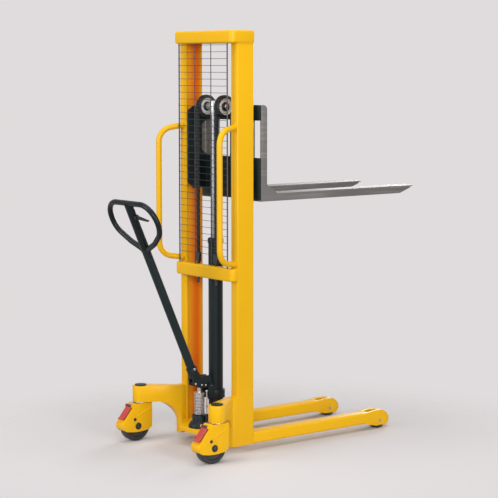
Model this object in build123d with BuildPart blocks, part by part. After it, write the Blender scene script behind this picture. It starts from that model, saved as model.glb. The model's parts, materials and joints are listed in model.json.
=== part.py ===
from build123d import *
import math
import os

os.makedirs("parts", exist_ok=True)

# Millimetres. X points forward along the forks, Y to the operator's left, Z up, and the floor is Z 0.
# The origin is on the floor, under the middle of the whole truck.
SIDES = (("left", 1), ("right", -1))
RUNNING = 0.15          # radial room of a pin in its bore
REST_GAP = 0.3          # room between curved faces that move past each other
SEAT_FIT = 0.05         # radial room of a fixed piece in its seat
RIM_CHAMFER = 2.5       # on the rims of rollers and the ends of pins
UPWARDS = (Align.CENTER, Align.CENTER, Align.MIN)
DOWNWARDS = (Align.CENTER, Align.CENTER, Align.MAX)

# Mast: two inward-facing channels under a cap beam, tied by a middle beam
MAST_X = -321.5         # back faces of the columns
MAST_HEIGHT = 2000.0
MAST_WIDTH = 457.0
COLUMN_DEPTH = 97.0
COLUMN_WIDTH = 50.0
COLUMN_WEB = 6.0
COLUMN_FLANGE = 7.0
COLUMN_CORNER = 5.0
BEAM_REACH = 37.0       # how far the beams stand behind the columns
BEAM_CORNER = 24.0
BEAM_EDGE = 4.0
CAP_OVERHANG = 4.0      # of the top beam, past the columns' sides
CAP_CORNER = 12.0
CAP_EDGE = 10.0
TOP_BEAM_HEIGHT = 60.0
TOP_BEAM_SKIN = 6.0
MIDDLE_BEAM_Z = 822.0
MIDDLE_BEAM_HEIGHT = 62.0
FOOT_Z = 32.0           # underside of the columns, arms and legs
COLUMN_Y = MAST_WIDTH / 2 - COLUMN_WIDTH / 2
FLANGE_TIP_Y = MAST_WIDTH / 2 - COLUMN_WIDTH
MAST_FRONT = MAST_X + COLUMN_DEPTH
TOP_BEAM_Z = MAST_HEIGHT - TOP_BEAM_HEIGHT
MIDDLE_BEAM_TOP = MIDDLE_BEAM_Z + MIDDLE_BEAM_HEIGHT

# Rear arms: a foot in line with its column, then a splayed reach over the castor. A plate ties the feet.
KINGPIN_X = MAST_X - 187.0
KINGPIN_Y = 312.0
ARM_TOP = 270.0
ARM_UNDERSIDE = 192.0
ARM_HALF_WIDTH = 40.0
ARM_OUTER_Y = MAST_WIDTH / 2
ARM_INNER_Y = 187.0
ARM_WALL = 6.0
ARCH_X = MAST_X - 30.0
ARCH_RADIUS = 110.0
BASE_Z = 72.0
BASE_TOP = 97.0
BASE_REAR_X = MAST_X - 110.0
BASE_TONGUE = 96.0      # half width of the tongue under the pump
BASE_CORNER = 34.0

# Front legs, with a roller housing at each tip
LEG_TOP = 88.0
LEG_WIDTH = 68.0
LEG_CORNER = 10.0
LEG_WALL = 5.0
HOUSING_X = MAST_X + 822.0
HOUSING_TOP = 94.0
HOUSING_BOTTOM = 16.0
LEG_TIP_X = MAST_X + 972.0
LOAD_ROLLER_X = MAST_X + 918.0
LOAD_ROLLER_RADIUS = 40.0
LOAD_ROLLER_WIDTH = 52.0
LOAD_AXLE_RADIUS = 8.0
LOAD_AXLE_PROUD = 2.0   # how far the axle's ends stand out of the housing
ROLLER_CLEARANCE = 7.0
HOUSING_RUN_IN = 10.0   # how far the housing laps over the tube
HOUSING_RAMP = 60.0
SHOE_LENGTH = 30.0
NOSE_LENGTH = 56.0
NOSE_Z = 58.0
CHIN_LENGTH = 40.0
SLOT_LENGTH = 70.0
SLOT_WIDTH = 34.0
SLOT_SETBACK = 53.0
LEG_Y = MAST_WIDTH / 2 - LEG_WIDTH / 2

# Wire guard and the operator's grab handles
GUARD_X = MAST_X - 33.0
GUARD_WIRE = 5.0
GUARD_BAYS = 3
GUARD_BAY = 127.5
GUARD_ROWS = 31
GUARD_PITCH = 32.0
GUARD_TOP = 1932.0
HANDLE_RADIUS = 14.0
HANDLE_BEND = 72.0
HANDLE_BACK = 117.0
HANDLE_ROOT_Y = 205.0
HANDLE_SPREAD_Y = 244.0
HANDLE_TOP = 1548.0
HANDLE_BOTTOM = 902.0
HANDLE_DROOP = 18.0
TUBE_WALL = 3.0         # of the handles, the tiller and its grip

# Lift cylinder, ram, crosshead and chain sheaves
RAM_X = MAST_X + 42.0
CYLINDER_RADIUS = 35.0
CYLINDER_BORE = 28.0
CYLINDER_TOP = 986.0
CYLINDER_FLOOR = 24.0
GLAND_RADIUS = 38.0
GLAND_TOP = 1012.0
GLAND_CHAMFER = 5.0
CLAMP_Z = 836.0
CLAMP_HEIGHT = 34.0
CLAMP_WALL = 6.0
CLAMP_LENGTH = 124.0
RAM_RADIUS = 23.0
RAM_FOOT = 700.0
RAM_TOP = 1622.0
PISTON_HEIGHT = 40.0
SHEAVE_Z = 1642.0
SHEAVE_Y = 72.0
SHEAVE_WIDTH = 28.0
SHEAVE_RADIUS = 52.0
GROOVE_RADIUS = 45.0
SHEAVE_WEB = 6.0        # half thickness of the web inside the rim
SHEAVE_HUB_RADIUS = 20.0
SHEAVE_RIM_RADIUS = 40.0
SHEAVE_DISH = 3.0       # slope of the web's edges
SHEAVE_LIP = 2.0
SHEAVE_AXLE_RADIUS = 11.0
SHEAVE_AXLE_PROUD = 8.0
SPACER_RADIUS = 16.0
CROSSHEAD_RADIUS = 27.0
CROSSHEAD_TOP = 1670.0
CROSSHEAD_FOOT = 1600.0
CROSSHEAD_EDGE = 6.0

# Leaf chains, their anchor bolts in the middle beam and their clevises on the carriage
CHAIN_WIDTH = 20.0
CHAIN_THICK = 10.0
CHAIN_RADIUS = GROOVE_RADIUS + REST_GAP + CHAIN_THICK / 2
CHAIN_BACK_X = RAM_X - CHAIN_RADIUS
CHAIN_FRONT_X = RAM_X + CHAIN_RADIUS
ANCHOR_RADIUS = 6.0
ANCHOR_FOOT = 790.0
ANCHOR_NUT_RADIUS = 9.6
ANCHOR_NUT_HEIGHT = 12.0
CLEVIS_HEIGHT = 44.0
CLEVIS_WALL = 5.0
LUG_THICK = 12.0
LUG_DROP = 30.0         # below the top of the carriage's lower plate
CLEVIS_BOLT = 60.0
CLEVIS_THICK = CHAIN_THICK + 4.0

# Carriage that runs between the columns, and the two forks
CARRIAGE_X = MAST_X + 113.0
CARRIAGE_BAR_THICK = 13.0
BAR_CHAMFER = 6.0
FORK_BACK_X = CARRIAGE_X + CARRIAGE_BAR_THICK
FORK_WIDTH = 102.0
FORK_Y = 196.0
CARRIAGE_HALF_WIDTH = FORK_Y + FORK_WIDTH / 2
UPPER_BAR_Z = 1578.0
CARRIAGE_TOP = 1651.0
LOWER_PLATE_Z = 1204.0
LOWER_PLATE_TOP = 1402.0
SIDE_PLATE_Y = 166.0    # inner face
SIDE_PLATE_THICK = 8.0
SIDE_PLATE_BACK = MAST_X + 3.0
SIDE_PLATE_Z = 1244.0
SIDE_PLATE_TOP = 1642.0
SIDE_PLATE_CHAMFER = 30.0
SIDE_NOTCH_Z = 1412.0
SIDE_NOTCH_TOP = 1568.0
SIDE_NOTCH_DEPTH = 26.0
SIDE_NOTCH_CHAMFER = 16.0
GUIDE_ROLLER_RADIUS = 40.0
GUIDE_ROLLER_WIDTH = 27.0
GUIDE_ROLLER_Y = 181.0  # inner face
GUIDE_PIN_RADIUS = 10.0
GUIDE_PIN_END = 211.0
GUIDE_HEIGHTS = (("lower", 1296.0), ("upper", 1590.0))
GUIDE_X = MAST_X + COLUMN_DEPTH / 2
FORK_TOP = 1232.7
FORK_DEPTH = 37.0
FORK_SKIN = 6.0
FORK_PLATE = 8.0
SHANK_DEPTH = 37.0
SHANK_CORNER = 22.0
SHANK_FLANGE = 45.0     # folded from the inner cheek, against the carriage
GUSSET_LENGTH = 64.0
GUSSET_HEIGHT = 43.0
TAPER_X = MAST_X + 1022.0
TIP_DEPTH = 12.0
TIP_CORNER = 34.0

# Hand pump on the base plate
PUMP_X = MAST_X - 58.0
PUMP_FLANGE_RADIUS = 53.0
PUMP_FLANGE_HEIGHT = 9.0
PUMP_FLOOR = 6.0
PUMP_DOME_TOP = 130.0
PUMP_DOME_SLOPE = 3.0    # rise over run where the dome leaves the flange
PUMP_RADIUS = 35.0
PUMP_TOP = 158.0
PLUNGER_RADIUS = 9.0
PLUNGER_FOOT = 146.0
SPRING_SEAT_RADIUS = 27.0
SPRING_SEAT_Z = 260.0
SPRING_SEAT_HEIGHT = 8.0
PLUNGER_HEAD_RADIUS = 10.0
SPRING_RADIUS = 23.0
SPRING_WIRE = 5.0
SPRING_TURNS = 10
VALVE_X = PUMP_X + 13.0
VALVE_Y = -42.0
VALVE_RADIUS = 8.0
VALVE_TOP = 165.0
VALVE_SEAT_Z = 117.0
VALVE_ROD_RADIUS = 3.5
VALVE_ROD_TOP = 278.0
VALVE_COLLAR_Z = 198.0
VALVE_COLLAR_RADIUS = 7.0
VALVE_COLLAR_HEIGHT = 8.0
VALVE_BALL_RADIUS = 6.0
VALVE_LIFT_ROOM = 4.0

# Tiller that works the pump
TILLER_PIVOT_X = MAST_X - 8.0
TILLER_PIVOT_Z = 297.0
TILLER_PIN_RADIUS = 7.0
TILLER_PIN_HALF = 36.0
TILLER_LEAN = 23.85     # degrees back from upright
TILLER_RADIUS = 20.5
TILLER_FOOT_X = MAST_X - 90.0
TILLER_FOOT_Z = 354.0
TILLER_TUBE = 690.0
PUMP_ARM = 52.0         # pivot to pump roller
PUMP_ARM_ANGLE = 10.0   # degrees above level
PUMP_ROLLER_RADIUS = 15.0
PUMP_ROLLER_WIDTH = 22.0
ROLLER_PIN_RADIUS = 5.0
ROLLER_PIN_HALF = 23.0
CHEEK_Y = 13.0          # inner face of the foot's cheeks
CHEEK_THICK = 8.0
CHEEK_RADIUS = 14.0
CROWN_X = (MAST_X - 64.0, MAST_X - 12.0)    # corners of the cheeks' level top
CROWN_Z = 339.0
CROWN_RADIUS = 9.0
STOP_PIN_X = MAST_X - 96.0
STOP_PIN_Z = 314.0
STOP_PIN_RADIUS = 6.0
STOP_PIN_HALF = 24.0
STOP_BOSS = 11.0
SOCKET_WALL = 5.0
SOCKET_FLOOR = 8.0
SOCKET_DEPTH = 40.0
EAR_Y = 23.0            # inner face of the bracket's ears
EAR_THICK = 8.0
EAR_RADIUS = 15.0
BRACKET_Z = 232.0
BRACKET_HEIGHT = 40.0
BRACKET_WALL = 9.0
HEAD_GAP = 1.0          # roller to plunger head, because the roller swings and the plunger slides

# Loop grip: heights are measured along the tiller from the tube's foot
GRIP_BAR_HEIGHT = 928.0
GRIP_BAR_HALF = 187.0
GRIP_SIDE_HEIGHT = 790.0
GRIP_KNEE = (95.0, 722.0)
GRIP_ROOT_HEIGHT = 682.0
GRIP_ROOT_HALF = 10.0
GRIP_RADIUS = 13.0
GRIP_CORNER = 90.0
STEM_RADIUS = 19.5
LEVER_HEIGHT = 858.0
LEVER_REACH = 118.0
LEVER_THICK = 4.0
LEVER_DEPTH = 10.0
LEVER_DROP = 14.0       # how far its tip is off square
LEVER_BOSS = 8.0
LEVER_LUG = 4.0
LEVER_GAP = 1.0
LEVER_PIN_RADIUS = 3.0
LEVER_PIN_Y = -30.0

# Braked swivel castors
CASTOR_TRAIL = 36.0
CASTOR_RADIUS = 75.0
CASTOR_WIDTH = 46.0
CASTOR_PLATE = 4.0
CASTOR_GAP = 56.0       # between the side plates
CASTOR_TOP = 187.0
CASTOR_ROOF = 6.0
RACE_RADIUS = 30.0
KINGPIN_RADIUS = 10.0
CAP_RADIUS = 28.0
CAP_HEIGHT = 6.0
CASTOR_BOLT_RADIUS = 8.0
CASTOR_BOLT_HEAD = 13.0
CASTOR_HEAD_HEIGHT = 7.0
CASTOR_FRONT = 46.0     # housing's front edge, ahead of the kingpin
CASTOR_REAR = 123.0     # its nose, behind the kingpin
SLOPE_START = 50.0      # top of its slanted back, behind the kingpin
SLOPE_FOOT = 100.0
NOSE_RISE = 3.0
NOSE_TUCK = 18.0
CASTOR_SKIRT = 54.0     # lower edge of the side plates
SKIRT_SAG = 8.0
HEEL_LENGTH = 16.0
HEEL_Z = 66.0
WHEEL_ROOM = 2.0
HUB_RADIUS = 22.0
HUB_HALF = 26.0
TREAD_INNER = 56.0
WHEEL_DISH = 8.0
WHEEL_BEVEL = 5.0
PEDAL_WIDTH = 46.0
PEDAL_THICK = 6.0
PEDAL_LENGTH = 104.0
PEDAL_HINGE_DROP = 20.0
PEDAL_BARREL = 7.0
PEDAL_GAP = 1.0
PEDAL_EAR = 5.0
PEDAL_LIP = 10.0
PEDAL_PIN_RADIUS = 3.5

# The tip of the forks is as far from the origin as the back of the grip's stem, so the truck is centred
tiller_lean = math.radians(TILLER_LEAN)
GRIP_BACK_X = TILLER_FOOT_X - GRIP_BAR_HEIGHT * math.sin(tiller_lean) - STEM_RADIUS * math.cos(tiller_lean)
FORK_TIP_X = -GRIP_BACK_X


def save(piece, name):
    """Labels a finished piece and writes its STEP file."""
    piece.part.label = name
    export_step(piece.part, f"parts/{name}.step")


def on_tiller(height):
    """A point on the tiller's axis, at a height along the tube from its foot."""
    return (
        TILLER_FOOT_X - height * math.sin(tiller_lean),
        0,
        TILLER_FOOT_Z + height * math.cos(tiller_lean),
    )


def biarc_helix(centre_x, radius, bottom, top, turns):
    """Points and tangents of a helix about Z, at every half turn, for biarcs of two quarter turns each."""
    climb = (top - bottom) / (2 * math.pi * turns)
    knots = []
    for step in range(2 * turns + 1):
        angle = math.pi * step
        point = Vector(
            centre_x + radius * math.cos(angle), radius * math.sin(angle), bottom + climb * angle
        )
        tangent = Vector(-radius * math.sin(angle), radius * math.cos(angle), climb).normalized()
        knots.append((point, tangent))
    return knots


def biarc_joint(start, end):
    """The point where two arcs, tangent to each other, join two knots of the helix."""
    (p, u), (q, v) = start, end
    gap = q - p
    turn = u + v
    square = 2 * (1 - u.dot(v))
    along = gap.dot(turn)
    reach = (-along + math.sqrt(along * along + square * gap.dot(gap))) / square
    return (p + u * reach + q - v * reach) * 0.5


# Columns: inward-facing channels, the track for the carriage's guide rollers
for side, s in SIDES:
    with BuildPart() as column:
        with BuildSketch(Plane.XY.offset(FOOT_Z)):
            with Locations((MAST_X + COLUMN_DEPTH / 2, s * COLUMN_Y)):
                Rectangle(COLUMN_DEPTH, COLUMN_WIDTH)
            with Locations((MAST_X + COLUMN_DEPTH / 2, s * (COLUMN_Y - COLUMN_WEB))):
                Rectangle(COLUMN_DEPTH - 2 * COLUMN_FLANGE, COLUMN_WIDTH, mode=Mode.SUBTRACT)
        extrude(amount=TOP_BEAM_Z - FOOT_Z)
        outer_corners = column.edges().filter_by(Axis.Z).group_by(Axis.Y)[-1 if s > 0 else 0]
        fillet(outer_corners, COLUMN_CORNER)
    save(column, f"{side}_column")

# Top beam: a cap over both columns, hollowed from below between them
with BuildPart() as top_beam:
    with BuildSketch(Plane.XY.offset(TOP_BEAM_Z)) as cap:
        with Locations((MAST_X + (COLUMN_DEPTH - BEAM_REACH) / 2, 0)):
            Rectangle(COLUMN_DEPTH + BEAM_REACH, MAST_WIDTH + 2 * CAP_OVERHANG)
        fillet(cap.vertices().group_by(Axis.X)[0], BEAM_CORNER)
        fillet(cap.vertices().group_by(Axis.X)[-1], CAP_CORNER)
    extrude(amount=TOP_BEAM_HEIGHT)
    fillet(top_beam.faces().sort_by(Axis.Z)[-1].edges(), CAP_EDGE)
    fillet(top_beam.faces().sort_by(Axis.Z)[0].edges(), BEAM_EDGE)
    with BuildSketch(Plane.XY.offset(TOP_BEAM_Z)):
        with Locations((MAST_X + (COLUMN_DEPTH - BEAM_REACH) / 2, 0)):
            Rectangle(COLUMN_DEPTH + BEAM_REACH - 4 * TOP_BEAM_SKIN, 2 * FLANGE_TIP_Y - 4 * TOP_BEAM_SKIN)
    extrude(amount=TOP_BEAM_HEIGHT - TOP_BEAM_SKIN, mode=Mode.SUBTRACT)
save(top_beam, "top_beam")

# Middle beam on the columns' backs, drilled for the chain anchors
with BuildPart() as middle_beam:
    with BuildSketch(Plane.XY.offset(MIDDLE_BEAM_Z)) as bar:
        with Locations((MAST_X - BEAM_REACH / 2, 0)):
            Rectangle(BEAM_REACH, MAST_WIDTH)
        fillet(bar.vertices().group_by(Axis.X)[0], BEAM_CORNER)
    extrude(amount=MIDDLE_BEAM_HEIGHT)
    for rim in (middle_beam.faces().sort_by(Axis.Z)[0], middle_beam.faces().sort_by(Axis.Z)[-1]):
        fillet(rim.edges().sort_by(Axis.X)[:-1], BEAM_EDGE)
    with Locations(*[(CHAIN_BACK_X, s * SHEAVE_Y, MIDDLE_BEAM_TOP) for side, s in SIDES]):
        Hole(ANCHOR_RADIUS + RUNNING)
save(middle_beam, "middle_beam")


def arm_plan(s, inset):
    """Plan of an arm: a foot behind its column, then straight sides to a round end at the kingpin."""
    half = ARM_HALF_WIDTH - inset
    corners = []
    for edge, y in ((1, ARM_OUTER_Y - inset), (-1, ARM_INNER_Y + inset)):
        span = Vector(KINGPIN_X - ARCH_X, KINGPIN_Y - y)
        heading = math.atan2(span.Y, span.X) - edge * math.asin(half / span.length)
        run = math.sqrt(span.length**2 - half**2)
        end_of_side = (ARCH_X + run * math.cos(heading), s * (y + run * math.sin(heading)))
        side_line = [(MAST_X - inset, s * y), (ARCH_X, s * y), end_of_side]
        corners += side_line if edge > 0 else side_line[::-1]
    Polygon(*corners, align=None)
    with Locations((KINGPIN_X, s * KINGPIN_Y)):
        Circle(half)


def arm_side(inset, foot):
    """Side view of an arm: a deep foot at the mast and an arch that clears the castor."""
    rear = KINGPIN_X - 2 * ARM_HALF_WIDTH
    under = ARM_UNDERSIDE + inset
    arch = ARCH_X + inset
    bend = ARCH_RADIUS + inset
    corner = (Align.MIN, Align.MIN)
    with Locations((rear, foot)):
        Rectangle(MAST_X - rear, ARM_TOP - inset - foot, align=corner)
        Rectangle(arch - bend - rear, under - foot, align=corner, mode=Mode.SUBTRACT)
        Rectangle(arch - rear, under - bend - foot, align=corner, mode=Mode.SUBTRACT)
    with Locations((arch - bend, under - bend)):
        Circle(bend, mode=Mode.SUBTRACT)


# Rear arms: box sections folded from plate, open underneath at the foot
for side, s in SIDES:
    with BuildPart() as arm_core:
        with BuildSketch(Plane.XZ):
            arm_side(ARM_WALL, 0.0)
        extrude(amount=KINGPIN_Y + 2 * ARM_HALF_WIDTH, both=True)
        with BuildSketch(Plane.XY):
            arm_plan(s, ARM_WALL)
        extrude(amount=ARM_TOP, mode=Mode.INTERSECT)
    with BuildPart() as arm:
        with BuildSketch(Plane.XZ):
            arm_side(0.0, FOOT_Z)
        extrude(amount=KINGPIN_Y + 2 * ARM_HALF_WIDTH, both=True)
        with BuildSketch(Plane.XY):
            arm_plan(s, 0.0)
        extrude(amount=ARM_TOP, mode=Mode.INTERSECT)
        add(arm_core.part, mode=Mode.SUBTRACT)
        with Locations((KINGPIN_X, s * KINGPIN_Y, ARM_TOP)):
            Hole(KINGPIN_RADIUS + RUNNING)
    save(arm, f"{side}_arm")

# Base plate between the arms, with a tongue that carries the pump
base_edge = [
    (BASE_REAR_X, BASE_TONGUE),
    (ARCH_X, ARM_INNER_Y),
    (MAST_X, ARM_INNER_Y),
    (MAST_X, FLANGE_TIP_Y),
    (MAST_FRONT, FLANGE_TIP_Y),
]
with BuildPart() as base_plate:
    with BuildSketch(Plane.XY.offset(BASE_Z)) as plate:
        Polygon(*base_edge, *[(x, -y) for x, y in reversed(base_edge)], align=None)
        fillet(plate.vertices().group_by(Axis.X)[0], BASE_CORNER)
    extrude(amount=BASE_TOP - BASE_Z)
save(base_plate, "base_plate")

# Front legs: box tubes that end in an open-bottomed roller housing
roller_room = LOAD_ROLLER_RADIUS + ROLLER_CLEARANCE
for side, s in SIDES:
    y = s * LEG_Y
    with BuildPart() as leg:
        with BuildSketch(Plane.YZ.offset(MAST_FRONT)):
            with Locations((y, (FOOT_Z + LEG_TOP) / 2)):
                RectangleRounded(LEG_WIDTH, LEG_TOP - FOOT_Z, LEG_CORNER)
        extrude(amount=HOUSING_X - MAST_FRONT)
        with BuildSketch(Plane.XZ.offset(-y)):
            with BuildLine():
                belly = (HOUSING_X - HOUSING_RUN_IN, FOOT_Z)
                back = (HOUSING_X - HOUSING_RUN_IN, LEG_TOP)
                shoe = (LOAD_ROLLER_X - SHOE_LENGTH, HOUSING_BOTTOM)
                shoulder = (HOUSING_X + HOUSING_RAMP, HOUSING_TOP)
                Polyline(shoe, belly, back, (HOUSING_X, LEG_TOP), shoulder)
                crown = Line(shoulder, (LEG_TIP_X - NOSE_LENGTH, HOUSING_TOP))
                nose = TangentArc(crown @ 1, (LEG_TIP_X, NOSE_Z), tangent=crown % 1)
                chin = TangentArc(nose @ 1, (LEG_TIP_X - CHIN_LENGTH, HOUSING_BOTTOM), tangent=nose % 1)
                Line(chin @ 1, shoe)
            make_face()
        extrude(amount=LEG_WIDTH / 2, both=True)
        with BuildSketch(Plane.XZ.offset(-y)):
            with Locations(((MAST_FRONT + HOUSING_X) / 2, (FOOT_Z + LEG_TOP) / 2)):
                Rectangle(HOUSING_X - MAST_FRONT, LEG_TOP - FOOT_Z - 2 * LEG_WALL)
            with Locations((LOAD_ROLLER_X, LOAD_ROLLER_RADIUS)):
                Circle(roller_room)
                Rectangle(2 * roller_room, roller_room, align=(Align.CENTER, Align.MAX))
            with Locations((HOUSING_X, LEG_TOP - LEG_WALL)):
                Rectangle(LOAD_ROLLER_X - HOUSING_X, LEG_TOP, align=(Align.MIN, Align.MAX))
        extrude(amount=LEG_WIDTH / 2 - LEG_WALL, both=True, mode=Mode.SUBTRACT)
        with BuildSketch(Plane.XY.offset(LEG_TOP - 2 * LEG_WALL)):
            with Locations((HOUSING_X + SLOT_SETBACK, y)):
                SlotOverall(SLOT_LENGTH, SLOT_WIDTH)
        extrude(amount=LEG_TOP, mode=Mode.SUBTRACT)
        with BuildSketch(Plane.XZ.offset(-y)):
            with Locations((LOAD_ROLLER_X, LOAD_ROLLER_RADIUS)):
                Circle(LOAD_AXLE_RADIUS + SEAT_FIT)
        extrude(amount=LEG_WIDTH, both=True, mode=Mode.SUBTRACT)
    save(leg, f"{side}_leg")

# Load rollers under the tips of the legs, and the axles that they turn on
for side, s in SIDES:
    with BuildPart() as load_roller:
        with BuildSketch(Plane.XZ.offset(-s * LEG_Y)):
            with Locations((LOAD_ROLLER_X, LOAD_ROLLER_RADIUS)):
                Circle(LOAD_ROLLER_RADIUS)
                Circle(LOAD_AXLE_RADIUS + RUNNING, mode=Mode.SUBTRACT)
        extrude(amount=LOAD_ROLLER_WIDTH / 2, both=True)
        rims = load_roller.edges().filter_by(GeomType.CIRCLE).sort_by(SortBy.RADIUS)[-2:]
        chamfer(rims, RIM_CHAMFER)
    save(load_roller, f"{side}_load_roller")
with BuildPart() as load_axles:
    for side, s in SIDES:
        with BuildSketch(Plane.XZ.offset(-s * LEG_Y)):
            with Locations((LOAD_ROLLER_X, LOAD_ROLLER_RADIUS)):
                Circle(LOAD_AXLE_RADIUS)
        extrude(amount=LEG_WIDTH / 2 + LOAD_AXLE_PROUD, both=True)
save(load_axles, "load_roller_axles")

# Wire guard: one holed sheet of wires, hung between the two beams
guard_half = GUARD_BAYS * GUARD_BAY / 2
guard_low = GUARD_TOP - GUARD_ROWS * GUARD_PITCH
with BuildPart() as guard_mesh:
    with BuildSketch(Plane.YZ.offset(GUARD_X - GUARD_WIRE / 2)):
        with Locations((0, (GUARD_TOP + guard_low) / 2)):
            Rectangle(2 * guard_half + GUARD_WIRE, GUARD_TOP - guard_low + GUARD_WIRE)
            with GridLocations(GUARD_BAY, GUARD_PITCH, GUARD_BAYS, GUARD_ROWS):
                Rectangle(GUARD_BAY - GUARD_WIRE, GUARD_PITCH - GUARD_WIRE, mode=Mode.SUBTRACT)
        with Locations((0, (TOP_BEAM_Z + MIDDLE_BEAM_TOP) / 2)):
            with GridLocations(GUARD_BAY, 1, GUARD_BAYS + 1, 1):
                Rectangle(GUARD_WIRE, TOP_BEAM_Z - MIDDLE_BEAM_TOP)
    extrude(amount=GUARD_WIRE)
save(guard_mesh, "guard_mesh")

# Grab handles: bent tubes on the columns' backs, spread outwards
for side, s in SIDES:
    with BuildPart() as grab_handle:
        with BuildLine() as handle_route:
            FilletPolyline(
                (MAST_X, s * HANDLE_ROOT_Y, HANDLE_TOP),
                (MAST_X - HANDLE_BACK, s * HANDLE_SPREAD_Y, HANDLE_TOP - HANDLE_DROOP),
                (MAST_X - HANDLE_BACK, s * HANDLE_SPREAD_Y, HANDLE_BOTTOM + HANDLE_DROOP),
                (MAST_X, s * HANDLE_ROOT_Y, HANDLE_BOTTOM),
                radius=HANDLE_BEND,
            )
        with BuildSketch(handle_route.line ^ 0):
            Circle(HANDLE_RADIUS)
            Circle(HANDLE_RADIUS - TUBE_WALL, mode=Mode.SUBTRACT)
        sweep()
        split(bisect_by=Plane.YZ.offset(MAST_X), keep=Keep.BOTTOM)
    save(grab_handle, f"{side}_grab_handle")

# Lift cylinder, its gland nut, the ram, its piston and the crosshead
with BuildPart() as lift_cylinder:
    with Locations((RAM_X, 0, BASE_TOP)):
        Cylinder(CYLINDER_RADIUS, CYLINDER_TOP - BASE_TOP, align=UPWARDS)
    with Locations((RAM_X, 0, BASE_TOP + CYLINDER_FLOOR)):
        Cylinder(
            CYLINDER_BORE, CYLINDER_TOP, align=UPWARDS, mode=Mode.SUBTRACT
        )
save(lift_cylinder, "lift_cylinder")
with BuildPart() as cylinder_clamp:
    with BuildSketch(Plane.XY.offset(CLAMP_Z)):
        with Locations((RAM_X, 0)):
            Circle(CYLINDER_RADIUS + CLAMP_WALL)
        with Locations((MAST_X, 0)):
            Rectangle(CLAMP_WALL, CLAMP_LENGTH, align=(Align.MIN, Align.CENTER))
        with Locations((MAST_X, 0)):
            Rectangle(MAST_WIDTH, MAST_WIDTH, align=(Align.MAX, Align.CENTER), mode=Mode.SUBTRACT)
        with Locations((RAM_X, 0)):
            Circle(CYLINDER_RADIUS + SEAT_FIT, mode=Mode.SUBTRACT)
    extrude(amount=CLAMP_HEIGHT)
save(cylinder_clamp, "cylinder_clamp")
with BuildPart() as cylinder_gland:
    with Locations((RAM_X, 0, CYLINDER_TOP)):
        Cylinder(GLAND_RADIUS, GLAND_TOP - CYLINDER_TOP, align=UPWARDS)
    chamfer(cylinder_gland.edges().group_by(Axis.Z)[-1], GLAND_CHAMFER)
    with Locations((RAM_X, 0, GLAND_TOP)):
        Hole(RAM_RADIUS + REST_GAP)
save(cylinder_gland, "cylinder_gland")
with BuildPart() as ram_rod:
    with Locations((RAM_X, 0, RAM_FOOT + PISTON_HEIGHT)):
        Cylinder(RAM_RADIUS, RAM_TOP - RAM_FOOT - PISTON_HEIGHT, align=UPWARDS)
save(ram_rod, "ram_rod")
with BuildPart() as ram_piston:
    with Locations((RAM_X, 0, RAM_FOOT)):
        Cylinder(CYLINDER_BORE - REST_GAP, PISTON_HEIGHT, align=UPWARDS)
    chamfer(ram_piston.edges(), RIM_CHAMFER)
save(ram_piston, "ram_piston")
with BuildPart() as crosshead:
    with Locations((RAM_X, 0, CROSSHEAD_FOOT)):
        Cylinder(CROSSHEAD_RADIUS, CROSSHEAD_TOP - CROSSHEAD_FOOT, align=UPWARDS)
    fillet(crosshead.edges().group_by(Axis.Z)[-1], CROSSHEAD_EDGE)
    chamfer(crosshead.edges().group_by(Axis.Z)[0], RIM_CHAMFER)
    with BuildSketch(Plane.XZ):
        with Locations((RAM_X, SHEAVE_Z)):
            Circle(SHEAVE_AXLE_RADIUS + SEAT_FIT)
    extrude(amount=2 * CROSSHEAD_RADIUS, both=True, mode=Mode.SUBTRACT)
    with Locations((RAM_X, 0, CROSSHEAD_FOOT)):
        Cylinder(RAM_RADIUS, RAM_TOP - CROSSHEAD_FOOT, align=UPWARDS, mode=Mode.SUBTRACT)
save(crosshead, "crosshead")
with BuildPart() as sheave_axle:
    with BuildSketch(Plane.XZ):
        with Locations((RAM_X, SHEAVE_Z)):
            Circle(SHEAVE_AXLE_RADIUS)
    extrude(amount=SHEAVE_Y + SHEAVE_WIDTH / 2 + SHEAVE_AXLE_PROUD, both=True)
    chamfer(sheave_axle.edges(), RIM_CHAMFER)
save(sheave_axle, "sheave_axle")
with BuildPart() as sheave_spacers:
    spacer_length = SHEAVE_Y - SHEAVE_WIDTH / 2 - CROSSHEAD_RADIUS - 2 * REST_GAP
    for side, s in SIDES:
        with BuildSketch(Plane.XZ.offset(-s * (CROSSHEAD_RADIUS + REST_GAP))):
            with Locations((RAM_X, SHEAVE_Z)):
                Circle(SPACER_RADIUS)
                Circle(SHEAVE_AXLE_RADIUS + SEAT_FIT, mode=Mode.SUBTRACT)
        extrude(amount=-s * spacer_length)
save(sheave_spacers, "sheave_spacers")

# Chain sheaves: grooved rims on a dished web with a hub
for side, s in SIDES:
    half = SHEAVE_WIDTH / 2
    groove = CHAIN_WIDTH / 2 + 2 * REST_GAP
    bore = SHEAVE_AXLE_RADIUS + RUNNING
    profile = [
        (bore, half),
        (SHEAVE_HUB_RADIUS, half),
        (SHEAVE_HUB_RADIUS + SHEAVE_DISH, SHEAVE_WEB),
        (SHEAVE_RIM_RADIUS - SHEAVE_DISH, SHEAVE_WEB),
        (SHEAVE_RIM_RADIUS, half),
        (SHEAVE_RADIUS, half),
        (SHEAVE_RADIUS, half - SHEAVE_LIP),
        (GROOVE_RADIUS, groove),
    ]
    with BuildPart() as sheave:
        with BuildSketch(Plane(origin=(RAM_X, s * SHEAVE_Y, SHEAVE_Z), x_dir=(1, 0, 0), z_dir=(0, 0, 1))):
            Polygon(*profile, *[(r, -w) for r, w in reversed(profile)], align=None)
        revolve(axis=Axis((RAM_X, s * SHEAVE_Y, SHEAVE_Z), (0, 1, 0)))
    save(sheave, f"{side}_sheave")

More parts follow.
